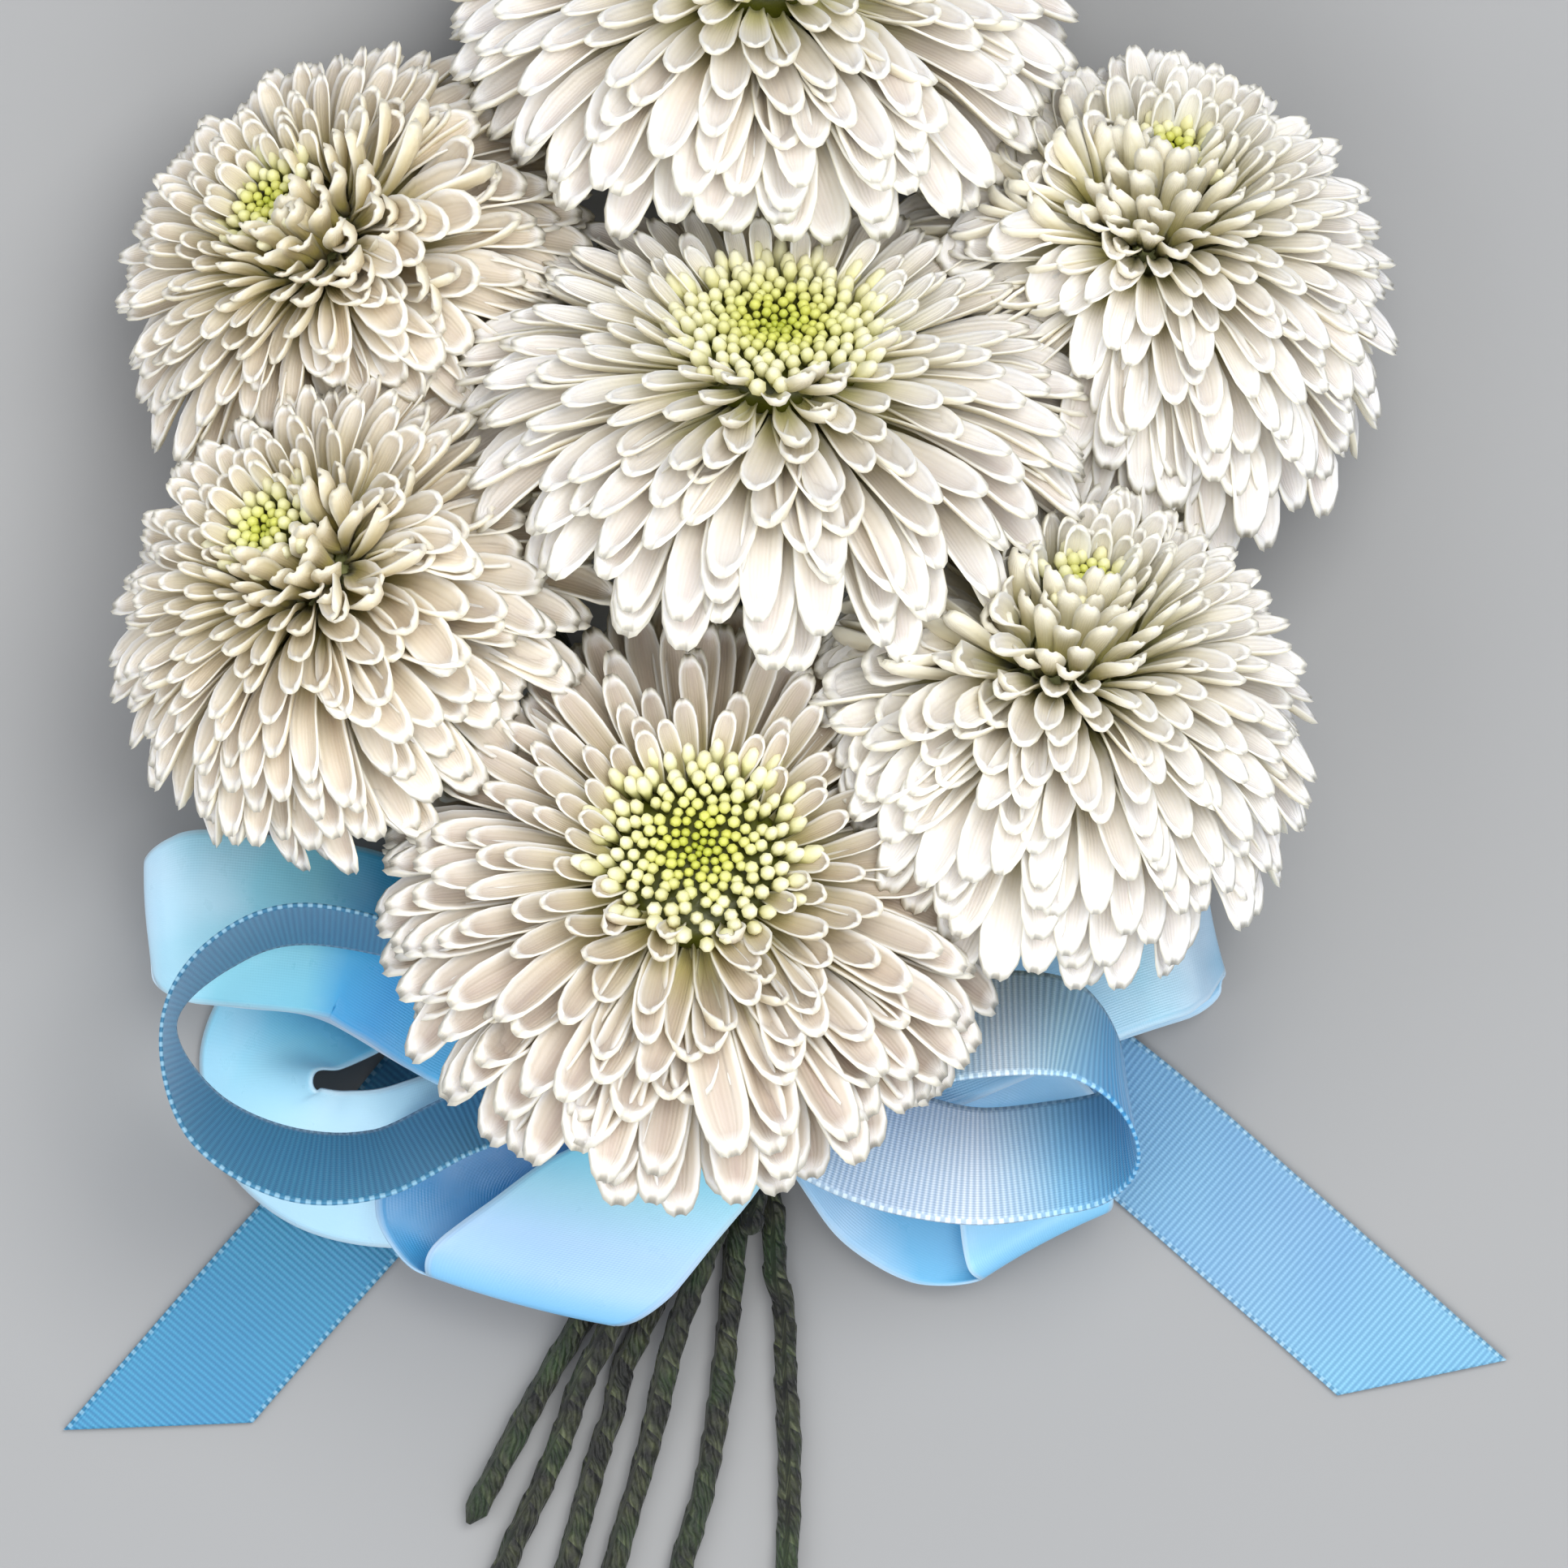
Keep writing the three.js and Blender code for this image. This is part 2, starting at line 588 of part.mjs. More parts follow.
// A closed strip of constant thickness through the stations, split alike on both faces.
function ribbonStrip({ kind, stations, endSlant = 0, slantedFold = false }) {
  const fullWidth = kind === 'satin' ? satinWidth : ribbedWidth;
  const centres = new THREE.CatmullRomCurve3(stations.map(([centre]) => vector(centre)), false, 'catmullrom');
  const sides = new THREE.CatmullRomCurve3(stations.map(([, side]) => vector(side)), false, 'catmullrom');
  const perStation = 2;
  const steps = (stations.length - 1) * perStation;
  const points = [];
  for (let step = 0; step <= steps; step += 1) {
    const at = step / steps;
    const centre = centres.getPoint(at);
    const forward = centres.getTangent(at);
    const side = sides.getPoint(at);
    side.addScaledVector(forward, slantedFold ? 0 : -side.dot(forward)).normalize();
    const face = forward.clone().cross(side).normalize();
    const before = Math.min(Math.floor(at * (stations.length - 1)), stations.length - 2);
    const blend = at * (stations.length - 1) - before;
    const width = fullWidth * THREE.MathUtils.lerp(stations[before][2], stations[before + 1][2], blend);
    const slant = step === steps ? endSlant : 0;
    for (const [across, raise] of [[-1, 1], [1, 1], [1, -1], [-1, -1]]) {
      const point = centre
        .clone()
        .addScaledVector(side, (across * width) / 2)
        .addScaledVector(face, (raise * ribbonThickness) / 2)
        .addScaledVector(forward, across * slant);
      points.push(point.toArray());
    }
  }
  const faces = [
    [0, 1, 2],
    [0, 2, 3],
  ];
  const last = steps * 4;
  faces.push([last, last + 2, last + 1], [last, last + 3, last + 2]);
  for (let step = 0; step < steps; step += 1) {
    const [a, b, c, d] = [0, 1, 2, 3].map((corner) => step * 4 + corner);
    faces.push([a, a + 4, b + 4], [a, b + 4, b]);
    faces.push([b, b + 4, c + 4], [b, c + 4, c]);
    faces.push([c, c + 4, d], [d, c + 4, d + 4]);
    faces.push([d, d + 4, a + 4], [d, a + 4, a]);
  }
  return closedGeometry(points, faces);
}

// Trims a ribbon square where it meets the knot.
function clearOfKnot(strip) {
  const size = [knot.right - knot.left, knot.head - knot.foot, knot.high - knot.low].map((side) => side + 2 * touchGap);
  const block = new THREE.BoxGeometry(...size);
  block.translate((knot.left + knot.right) / 2, (knot.foot + knot.head) / 2, (knot.low + knot.high) / 2);
  return oneBody(toSolid(strip).subtract(toSolid(block)));
}

// ---- the bunch ----
const bunch = new THREE.Group();

function add(name, geometry, look) {
  const mesh = new THREE.Mesh(geometry, look);
  mesh.name = name;
  bunch.add(mesh);
}

blooms.forEach((bloom, number) => {
  add(`petals_${bloom.name}`, petalHead(bloom, number), material(colours.petal, 0.6));
  add(`disc_${bloom.name}`, floretDisc(bloom), material(colours.disc, 0.7));
  add(`calyx_${bloom.name}`, calyxCup(bloom), material(colours.calyx, 0.7));
});
for (const stem of stems) {
  add(`stem_${stem.name}`, tapedStem(stem), material(colours.tape, 0.9));
}
add('stem_binding', stemBinding(), material(colours.tape, 0.9));
add('bow_knot', bowKnot(), material(colours.ribbed, 0.5));
for (const ribbon of ribbons) {
  const satin = ribbon.kind === 'satin';
  add(ribbon.name, clearOfKnot(ribbonStrip(ribbon)), material(satin ? colours.satin : colours.ribbed, satin ? 0.3 : 0.6));
}

// The origin lies under the middle of the bunch, on the surface that it rests on.
const box = new THREE.Box3().setFromObject(bunch, true);
const middle = box.getCenter(new THREE.Vector3());
bunch.position.set(-middle.x, -middle.y, -box.min.z);

export default bunch;
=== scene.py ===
import math
import random

import bmesh
import bpy
import numpy as np
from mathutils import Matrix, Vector


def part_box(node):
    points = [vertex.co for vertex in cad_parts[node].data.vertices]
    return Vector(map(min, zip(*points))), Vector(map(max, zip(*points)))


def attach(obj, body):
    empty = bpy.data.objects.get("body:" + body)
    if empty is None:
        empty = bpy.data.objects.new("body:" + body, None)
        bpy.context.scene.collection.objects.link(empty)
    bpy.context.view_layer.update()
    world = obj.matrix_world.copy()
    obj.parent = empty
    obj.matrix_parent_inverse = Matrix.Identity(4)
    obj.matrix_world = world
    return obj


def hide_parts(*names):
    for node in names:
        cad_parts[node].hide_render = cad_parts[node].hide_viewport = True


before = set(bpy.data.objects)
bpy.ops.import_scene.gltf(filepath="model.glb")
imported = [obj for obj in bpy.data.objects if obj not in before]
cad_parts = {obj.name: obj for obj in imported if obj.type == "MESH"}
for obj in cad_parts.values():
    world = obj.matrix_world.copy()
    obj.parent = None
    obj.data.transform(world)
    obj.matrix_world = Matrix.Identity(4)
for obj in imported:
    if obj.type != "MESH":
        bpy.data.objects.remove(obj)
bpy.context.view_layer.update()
bpy.ops.object.select_all(action="DESELECT")
print("frame loaded")

# Places below are in millimetres, measured as in the part's source. The knot ties them to the frame.
knot = {"left": -14, "right": -2, "foot": -40, "head": -28, "low": 8.9, "high": 30.5}
shift = np.array(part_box("bow_knot")[0]) * 1000 - np.array([knot["left"], knot["foot"], knot["low"]])
clearance = 0.0001  # metres between the lowest points and the surface that the bunch lies on
fullTurn = 2 * math.pi
goldenAngle = math.pi * (3 - math.sqrt(5))


def metres(points):
    return (np.asarray(points, float) + shift) / 1000


def unit(vectors):
    vectors = np.asarray(vectors, float)
    return vectors / np.maximum(np.linalg.norm(vectors, axis=-1, keepdims=True), 1e-9)


def mix(low, high, share):
    return low + (high - low) * share


def within(value):
    return min(max(value, 0), 1)


# a number drawn from either side of zero
def sway(draw, span):
    return draw.uniform(-span, span)


def strides(course):
    return np.linalg.norm(np.diff(course, axis=0), axis=1)


# the way along a course at each of its points
def travelled(course):
    return np.concatenate([[0], strides(course).cumsum()])


# a smooth course through the points, at even shares of their number
def smoothCourse(points, count, centripetal=False):
    points = np.asarray(points, float)
    spans = len(points) - 1
    padded = np.vstack([2 * points[0] - points[1], points, 2 * points[-1] - points[-2]])
    course = []
    for step in range(count + 1):
        at = step / count * spans
        index = min(int(at), spans - 1)
        share = at - index
        a, b, c, d = padded[index : index + 4]
        gaps = (1, 1, 1)
        if centripetal:
            gaps = [max(np.linalg.norm(q - p), 1e-6) ** 0.5 for p, q in ((a, b), (b, c), (c, d))]
        leave = ((b - a) / gaps[0] - (c - a) / (gaps[0] + gaps[1]) + (c - b) / gaps[1]) * gaps[1]
        arrive = ((c - b) / gaps[1] - (d - b) / (gaps[1] + gaps[2]) + (d - c) / gaps[2]) * gaps[1]
        square, cube = share**2, share**3
        course.append(
            (2 * cube - 3 * square + 1) * b
            + (cube - 2 * square + share) * leave
            + (3 * square - 2 * cube) * c
            + (cube - square) * arrive
        )
    return np.array(course)


# a course from root to tip that is drawn towards the bend, at the shares given
def bentCourse(shares, root, bend, tip):
    shares = np.array(shares)[:, None]
    root, bend, tip = np.array(root), np.array(bend), np.array(tip)
    return (1 - shares) ** 2 * root + 2 * shares * (1 - shares) * bend + shares**2 * tip


# faces between rings of points that follow one another, from the point numbered first on
def tubeFaces(first, rings, sides, flip=False):
    faces = []
    for ring in range(rings - 1):
        for step in range(sides):
            a, b = (first + ring * sides + s for s in (step, (step + 1) % sides))
            faces.append((a, a + sides, b + sides, b) if flip else (a, b, b + sides, a + sides))
    return faces


# faces from one point to a ring of points
def fanFaces(point, first, sides, flip=False):
    pairs = [(first + step, first + (step + 1) % sides) for step in range(sides)]
    return [(point, b, a) if flip else (point, a, b) for a, b in pairs]


# a tube closed at both ends, whose two middle points come after its rings
def closedTube(rings, sides, flip=False):
    foot = rings * sides
    ends = fanFaces(foot, 0, sides, not flip) + fanFaces(foot + 1, foot - sides, sides, flip)
    return tubeFaces(0, rings, sides, flip) + ends


def meshPiece(name, points, faces, material, coordinates=None, tones=None):
    placed = metres(points)
    placed[:, 2] = np.maximum(placed[:, 2], clearance)
    mesh = bpy.data.meshes.new(name)
    mesh.from_pydata([tuple(p) for p in placed], [], [tuple(f) for f in faces])
    mesh.polygons.foreach_set("use_smooth", [True] * len(mesh.polygons))
    corners = np.empty(len(mesh.loops), dtype=np.int32)
    mesh.loops.foreach_get("vertex_index", corners)
    if coordinates is not None:
        layer = mesh.uv_layers.new(name="along")
        layer.data.foreach_set("uv", np.asarray(coordinates, float)[corners].ravel())
    if tones is not None:
        tones = np.asarray(tones, float)
        if tones.shape[1] == 3:
            tones = np.hstack([tones, np.ones((len(tones), 1))])
        mesh.attributes.new("tone", "FLOAT_COLOR", "POINT").data.foreach_set("color", tones.ravel())
    mesh.update()
    piece = bpy.data.objects.new(name, mesh)
    bpy.context.collection.objects.link(piece)
    mesh.materials.append(material)
    return piece


# gathers what belongs to one piece
class Heap:
    def __init__(self):
        self.size, self.points, self.faces, self.tones, self.coordinates = 0, [], [], [], []

    def add(self, points, faces, tones, coordinates=None):
        self.faces += [tuple(self.size + i for i in face) for face in faces]
        self.size += len(points)
        self.points.append(points)
        self.tones.append(tones)
        if coordinates is not None:
            self.coordinates.append(coordinates)

    def piece(self, name, material):
        coordinates = np.vstack(self.coordinates) if self.coordinates else None
        points, tones = np.vstack(self.points), np.vstack(self.tones)
        return meshPiece(name, points, self.faces, material, coordinates, tones)


def settle(piece, slot, *nodes):
    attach(piece, "root")
    if nodes:
        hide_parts(*nodes)


# picks one object and makes it the active one
def pick(piece):
    bpy.ops.object.select_all(action="DESELECT")
    piece.select_set(True)
    bpy.context.view_layer.objects.active = piece


def faceOutward(piece):
    pick(piece)
    bpy.ops.object.mode_set(mode="EDIT")
    bpy.ops.mesh.select_all(action="SELECT")
    bpy.ops.mesh.normals_make_consistent(inside=False)
    bpy.ops.object.mode_set(mode="OBJECT")


# screen colour to the shader's linear colour
def paint(red, green, blue):
    parts = [c / 255 for c in (red, green, blue)]
    return tuple(c / 12.92 if c <= 0.04045 else ((c + 0.055) / 1.055) ** 2.4 for c in parts) + (1.0,)


def grey(value):
    return (value, value, value, 1)


# shader building
class Board:
    def __init__(self, tree):
        self.tree = tree

    def feed(self, target, value):
        if isinstance(value, bpy.types.NodeSocket):
            self.tree.links.new(value, target)
        elif value is not None:
            target.default_value = value

    def node(self, kind, **inputs):
        made = self.tree.nodes.new("ShaderNode" + kind)
        for key, value in inputs.items():
            if key in made.inputs:
                self.feed(made.inputs[key], value)
            else:
                setattr(made, key, value)
        return made

    def reckon(self, kind, first, second=None, clamp=False):
        made = self.node("Math", operation=kind, use_clamp=clamp)
        self.feed(made.inputs[0], first)
        self.feed(made.inputs[1], second)
        return made.outputs[0]

    def plus(self, first, second):
        return self.reckon("ADD", first, second)

    def minus(self, first, second, clamp=False):
        return self.reckon("SUBTRACT", first, second, clamp)

    def times(self, first, second, clamp=False):
        return self.reckon("MULTIPLY", first, second, clamp)

    # 0 up to the start, and from there rising by the slope to 1
    def past(self, value, start, slope):
        return self.times(self.minus(value, start, True), slope, True)

    def fromMiddle(self, across):
        return self.reckon("ABSOLUTE", self.minus(across, 0.5))

    def wave(self, value, rate):
        return self.reckon("SINE", self.times(value, rate))

    # a wave between 0 and 1
    def mask(self, wave):
        return self.times(self.plus(wave, 1), 0.5)

    def ramp(self, factor, stops):
        made = self.node("ValToRGB")
        elements = made.color_ramp.elements
        while len(elements) < len(stops):
            elements.new(0.5)
        for element, (place, colour) in zip(elements, stops):
            element.position = place
            element.color = colour
        self.feed(made.inputs[0], factor)
        return made.outputs[0]

    def blend(self, factor, first, second, kind="MIX"):
        made = self.node("Mix", data_type="RGBA", blend_type=kind)
        for index, value in ((0, factor), (6, first), (7, second)):
            self.feed(made.inputs[index], value)
        return made.outputs[2]

    # a point's place across its piece and along it
    def chart(self):
        place = self.node("SeparateXYZ", Vector=self.node("UVMap", uv_map="along").outputs["UV"])
        return place.outputs["X"], place.outputs["Y"]

    def tone(self):
        return self.node("Attribute", attribute_name="tone")

    def toneParts(self):
        tone = self.tone()
        parts = self.node("SeparateColor", Color=tone.outputs["Color"]).outputs
        return parts["Red"], parts["Green"], parts["Blue"], tone.outputs["Alpha"]

    # ends a material with its colour and its relief, whose depth is in metres
    def finish(self, colour, height, strength, depth):
        self.feed(self.shader.inputs["Base Color"], colour)
        bump = self.node("Bump", Height=height, Strength=strength, Distance=depth)
        self.feed(self.shader.inputs["Normal"], bump.outputs["Normal"])
        return self.material


def newMaterial(name, **fixed):
    material = bpy.data.materials.new(name)
    material.use_nodes = True
    board = Board(material.node_tree)
    board.material = material
    board.shader = material.node_tree.nodes["Principled BSDF"]
    for key, value in fixed.items():
        board.shader.inputs[key.replace("_", " ")].default_value = value
    return board


# Shared effect: fine mottling in the object's own space, for colour and relief.
def buildMottle():
    tree = bpy.data.node_groups.new("mottle", "ShaderNodeTree")
    for name, usual in (("Size", 400), ("Low", 0), ("High", 1)):
        socket = tree.interface.new_socket(name, in_out="INPUT", socket_type="NodeSocketFloat")
        socket.default_value = usual
    tree.interface.new_socket("Mask", in_out="OUTPUT", socket_type="NodeSocketFloat")
    board = Board(tree)
    enter = tree.nodes.new("NodeGroupInput").outputs
    leave = tree.nodes.new("NodeGroupOutput")
    place = board.node("TexCoord").outputs["Object"]
    cloud = board.node("TexNoise", Vector=place, Scale=enter["Size"], Detail=4.0)
    spread = board.node("MapRange", Value=cloud.outputs["Fac"])
    ends = {"From Min": 0.3, "From Max": 0.7, "To Min": enter["Low"], "To Max": enter["High"]}
    for key, value in ends.items():
        board.feed(spread.inputs[key], value)
    board.feed(leave.inputs["Mask"], spread.outputs["Result"])
    return tree


mottle = buildMottle()


def mottled(board, size, low, high):
    return board.node("Group", node_tree=mottle, Size=size, Low=low, High=high).outputs["Mask"]


# petal finish: u runs across, v from root to tip; tone holds age, chance, head and upper side
petalFinish = {
    # root and neck: partly the petal's own green base, partly painted shade of the crevices between petals
    "root": paint(150, 152, 68), "neck": paint(220, 216, 154), "body": paint(248, 243, 230),
    # inside: painted shade for the hollow of each cupped petal
    "tip": paint(253, 251, 248), "inside": paint(212, 200, 200), "under": paint(238, 233, 208),
    # rim: painted highlight along the raised rims and the tip
    "cream": paint(244, 231, 202), "young": paint(232, 230, 160), "rim": paint(255, 254, 251),
    "vein": paint(228, 221, 208), "dull": paint(216, 208, 200), "veins": 62,
}


def petalMaterial():
    look = petalFinish
    board = newMaterial(
        "chrysanthemumPetal",
        Roughness=0.45,
        Subsurface_Weight=0.2,
        Subsurface_Radius=(0.9, 0.8, 0.55),
        Subsurface_Scale=0.0015,
        Sheen_Weight=0.12,
        Sheen_Roughness=0.4,
    )
    across, along = board.chart()
    age, chance, creamy, upper = board.toneParts()
    # partly the petal's green base, partly painted crevice shade: dark olive at the root, yellow-green at the
    # neck
    stops = [(0.0, look["root"]), (0.27, look["neck"]), (0.56, look["body"]), (1.0, look["tip"])]
    flesh = board.ramp(along, stops)
    young = board.times(board.past(age, 0.68, 2.6), board.minus(1.02, along, True), True)
    flesh = board.blend(young, flesh, look["young"])
    flesh = board.blend(board.times(creamy, 0.75), flesh, look["cream"], "MULTIPLY")
    # painted shade: the hollow of the spoon is darker than its rim, in patches
    edge = board.fromMiddle(across)
    hollowShade = board.minus(1, board.times(edge, 2.3), True)
    hollowShade = board.times(hollowShade, board.minus(1.25, board.times(age, 0.7), True), True)
    hollowShade = board.times(hollowShade, mottled(board, 90, 0.45, 1), True)
    hollowShade = board.times(hollowShade, board.plus(board.times(chance, 0.6), 0.4), True)
    flesh = board.blend(hollowShade, flesh, look["inside"], "MULTIPLY")
    veins = board.mask(board.wave(across, look["veins"]))
    flesh = board.blend(board.times(veins, 0.14), flesh, look["vein"], "MULTIPLY")
    flesh = board.blend(board.times(chance, 0.8), flesh, look["dull"], "MULTIPLY")
    # painted highlight: the raised rims and the very tip are lightened towards the rim colour, fading out
    # towards the root
    rim = board.reckon("MAXIMUM", board.past(edge, 0.39, 8.0), board.past(along, 0.95, 14.0))
    rim = board.times(rim, board.times(along, 1.6, True))
    flesh = board.blend(board.times(rim, 0.8), flesh, look["rim"])
    below = board.times(board.minus(1, upper), 0.75)
    flesh = board.blend(below, flesh, look["under"], "MULTIPLY")
    height = board.plus(board.times(veins, 0.6), mottled(board, 2600, 0, 0.35))
    return board.finish(flesh, height, 0.25, 0.0002)


floretFinish = {
    # gap: partly the florets' own green, partly painted shade between the packed florets
    "gap": paint(88, 92, 18), "young": paint(180, 190, 52), "middle": paint(206, 204, 96),
    "grown": paint(232, 228, 168), "eyeTip": paint(222, 224, 112), "grownTip": paint(250, 247, 216),
    "dull": paint(206, 200, 120),
}


# tone holds the place from the middle of the disc, the height up the floret and chance
def floretMaterial():
    look = floretFinish
    board = newMaterial(
        "closedFloret",
        Roughness=0.42,
        Subsurface_Weight=0.15,
        Subsurface_Radius=(0.8, 0.8, 0.4),
        Subsurface_Scale=0.001,
    )
    out, up, chance = board.toneParts()[:3]
    side = board.ramp(out, [(0.0, look["young"]), (0.5, look["middle"]), (1.0, look["grown"])])
    crown = board.ramp(out, [(0.0, look["young"]), (0.35, look["eyeTip"]), (0.8, look["grownTip"])])
    skin = board.blend(board.past(up, 0.45, 2.2), side, crown)
    # the lower part of each floret turns to the gap colour: partly its own green, partly painted shade between
    # florets
    skin = board.blend(board.ramp(up, [(0.12, grey(1)), (0.6, grey(0))]), skin, look["gap"])
    skin = board.blend(board.times(chance, 0.35), skin, look["dull"], "MULTIPLY")
    return board.finish(skin, mottled(board, 3500, 0, 1), 0.2, 0.0001)


calyxFinish = {
    "foot": paint(62, 82, 34), "middle": paint(98, 118, 54), "tip": paint(168, 170, 108),
    "patch": paint(196, 200, 150),
}


# tone holds the height up the cup or the bract
def calyxMaterial():
    look = calyxFinish
    board = newMaterial("greenBract", Roughness=0.6, Sheen_Weight=0.1)
    stops = [(0.0, look["foot"]), (0.7, look["middle"]), (1.0, look["tip"])]
    skin = board.ramp(board.toneParts()[0], stops)
    skin = board.blend(mottled(board, 700, 0, 0.6), skin, look["patch"], "MULTIPLY")
    return board.finish(skin, mottled(board, 1800, 0, 1), 0.35, 0.0002)


tapeFinish = {
    "lap": paint(8, 10, 4), "light": paint(70, 74, 46), "dark": paint(38, 44, 22),
    "edge": paint(98, 104, 72), "worn": paint(76, 76, 50), "green": paint(38, 66, 24),
    # crease: painted shade in the creases
    "crease": paint(120, 122, 98), "creases": 62,
}


# u runs round the stem, v along it in turns of the tape
def tapeMaterial():
    look = tapeFinish
    board = newMaterial("stemTape", Roughness=0.58, Sheen_Weight=0.1)
    around, along = board.chart()
    turn = board.reckon("FRACT", board.plus(around, along))
    stops = [(0.0, look["lap"]), (0.25, look["light"]), (0.7, look["dark"]), (1.0, look["edge"])]
    skin = board.ramp(turn, stops)
    skin = board.blend(mottled(board, 420, -0.3, 1.3), skin, look["worn"], "MULTIPLY")
    skin = board.blend(mottled(board, 110, -0.7, 0.9), skin, look["green"])
    # creases run along the stem, at a slant to the turns of the tape
    crease = board.times(board.plus(around, board.times(along, 0.3)), look["creases"])
    crease = board.plus(crease, board.times(mottled(board, 260, 0, 1), 9))
    creaseMask = board.mask(board.reckon("SINE", crease))
    # painted shade: the sunk creases are darkened towards the crease colour
    skin = board.blend(board.times(creaseMask, 0.6), skin, look["crease"], "MULTIPLY")
    place = board.node("TexCoord").outputs["Object"]
    crinkle = board.node("TexNoise", Vector=place, Scale=2600.0, Detail=3.0).outputs["Fac"]
    height = board.minus(board.times(crinkle, 0.6), creaseMask)
    return board.finish(skin, height, 0.6, 0.0003)


satinFinish = {
    "sheen": paint(225, 240, 255), "deep": paint(214, 226, 250), "pale": paint(226, 240, 255),
    "hem": paint(222, 240, 250), "warp": 420, "weft": 21,
}


# u runs across the ribbon from 0 to 1, v along it in millimetres
def satinMaterial():
    look = satinFinish
    board = newMaterial(
        "satinRibbon",
        Roughness=0.3,
        Sheen_Weight=0.3,
        Sheen_Roughness=0.35,
        Sheen_Tint=look["sheen"],
        Coat_Weight=0.25,
        Coat_Roughness=0.22,
    )
    across, along = board.chart()
    # the tone is the ribbon's colour with painted sheen highlights and painted shade along it
    tone = board.tone().outputs["Color"]
    cloth = board.blend(mottled(board, 40, 0, 0.35), tone, look["deep"], "MULTIPLY")
    cloth = board.blend(mottled(board, 30, -0.5, 0.5), cloth, look["pale"])
    hem = board.past(board.fromMiddle(across), 0.465, 30.0)
    cloth = board.blend(board.times(hem, 0.5), cloth, look["hem"])
    warp, weft = board.wave(across, look["warp"]), board.wave(along, look["weft"])
    weave = board.plus(board.times(warp, 0.7), board.times(weft, 0.3))
    rough = board.ramp(mottled(board, 300, 0, 1), [(0.0, grey(0.26)), (1.0, grey(0.36))])
    board.feed(board.shader.inputs["Roughness"], rough)
    return board.finish(cloth, weave, 0.12, 0.0001)


ribbedFinish = {
    # furrow: painted shade between the ribs, the threads and the hem stitches
    "sheen": paint(215, 235, 255), "furrowShade": paint(196, 210, 224), "deep": paint(206, 214, 244),
    "thread": paint(214, 238, 252),
    "pitch": 0.68,  # millimetres between the cross ribs
    "stitch": 1.5,  # ribs to a stitch of the hem
    "threads": 300,
}


def ribbedMaterial():
    look = ribbedFinish
    board = newMaterial(
        "ribbedRibbon", Roughness=0.55, Sheen_Weight=0.4, Sheen_Roughness=0.4, Sheen_Tint=look["sheen"]
    )
    across, along = board.chart()
    ribMask = board.mask(board.wave(along, fullTurn / look["pitch"]))
    # the tone is the colour, which on the loops and tails holds painted sheen highlights and painted shade
    tone = board.tone().outputs["Color"]
    # painted shade: the furrows between ribs are darker, and so are the lines between threads and between
    # stitches
    furrowShade = board.blend(1.0, tone, look["furrowShade"], "MULTIPLY")
    cloth = board.blend(ribMask, furrowShade, tone)
    cloth = board.blend(mottled(board, 60, 0, 0.4), cloth, look["deep"], "MULTIPLY")
    threads = board.wave(across, look["threads"])
    cloth = board.blend(board.times(board.plus(threads, 1), 0.12), cloth, furrowShade)
    hem = board.past(board.fromMiddle(across), 0.462, 70.0)
    stitch = board.wave(along, fullTurn / (look["pitch"] * look["stitch"]))
    stitchMask = board.times(board.plus(stitch, 0.3), 1.4, True)
    thread = board.blend(0.28, tone, look["thread"])
    cloth = board.blend(hem, cloth, board.blend(stitchMask, furrowShade, thread))
    height = board.plus(ribMask, board.times(threads, 0.2))
    return board.finish(cloth, height, 0.4, 0.0002)


petalSkin = petalMaterial()
floretSkin = floretMaterial()
calyxSkin = calyxMaterial()
tapeSkin = tapeMaterial()
satinSkin = satinMaterial()
ribbedSkin = ribbedMaterial()
print("materials built")

# heads: centre of the outermost petals, lean of the axis from upright, radius
leftHead = {
    "toward": (-0.72, 0.69), "lean": 48, "radius": 28, "dome": 24, "eye": 0.17, "cream": 0.7, "dull": 0.25,
    "count": 370, "crowd": 1.35, "curl": (52, 12), "bed": 0.8, "ruffled": (0.95, -0.3, 1),
}
rightHead = {
    "toward": (0.25, 0.97), "lean": 50, "dome": 30, "eye": 0.13, "cream": 0.1, "dull": 0.0,
    "count": 440, "crowd": 1.35, "curl": (60, 6), "bed": 0.84, "ruffled": (-1, -0.1, 0.9),
}
heads = {
    "top": {
        "centre": (-2, 86, 24), "toward": (0, 1), "lean": 50, "radius": 34, "dome": 20.5, "eye": 0.33,
        "cream": 0.1, "dull": 0.2, "count": 270, "crowd": 1.3, "curl": (46, 26), "ruffled": (0.2, -1, 0.7),
    },
    "upper_left": {**leftHead, "centre": (-48, 56, 20)},
    "lower_left": {**leftHead, "centre": (-48, 18.5, 35)},
    "upper_right": {**rightHead, "centre": (39.5, 53, 21.5), "radius": 28.5},
    "lower_right": {**rightHead, "centre": (29.5, 4, 35), "radius": 29.3},
    "middle": {
        "centre": (-1.2, 40, 38), "toward": (0.05, 1), "lean": 53, "radius": 34.5, "dome": 20.5, "eye": 0.33,
        "cream": 0.1, "dull": 0.2, "count": 280, "crowd": 1.35, "curl": (46, 22), "ruffled": (0.2, -1, 0.7),
    },
    "bottom": {
        "centre": (-9.7, -13, 43), "toward": (0, 1), "lean": 26, "radius": 35, "dome": 18, "eye": 0.31,
        "cream": 0.35, "dull": 0.9, "count": 285, "crowd": 1.35, "curl": (46, 22), "ruffled": (0, -1, 0.6),
    },
}

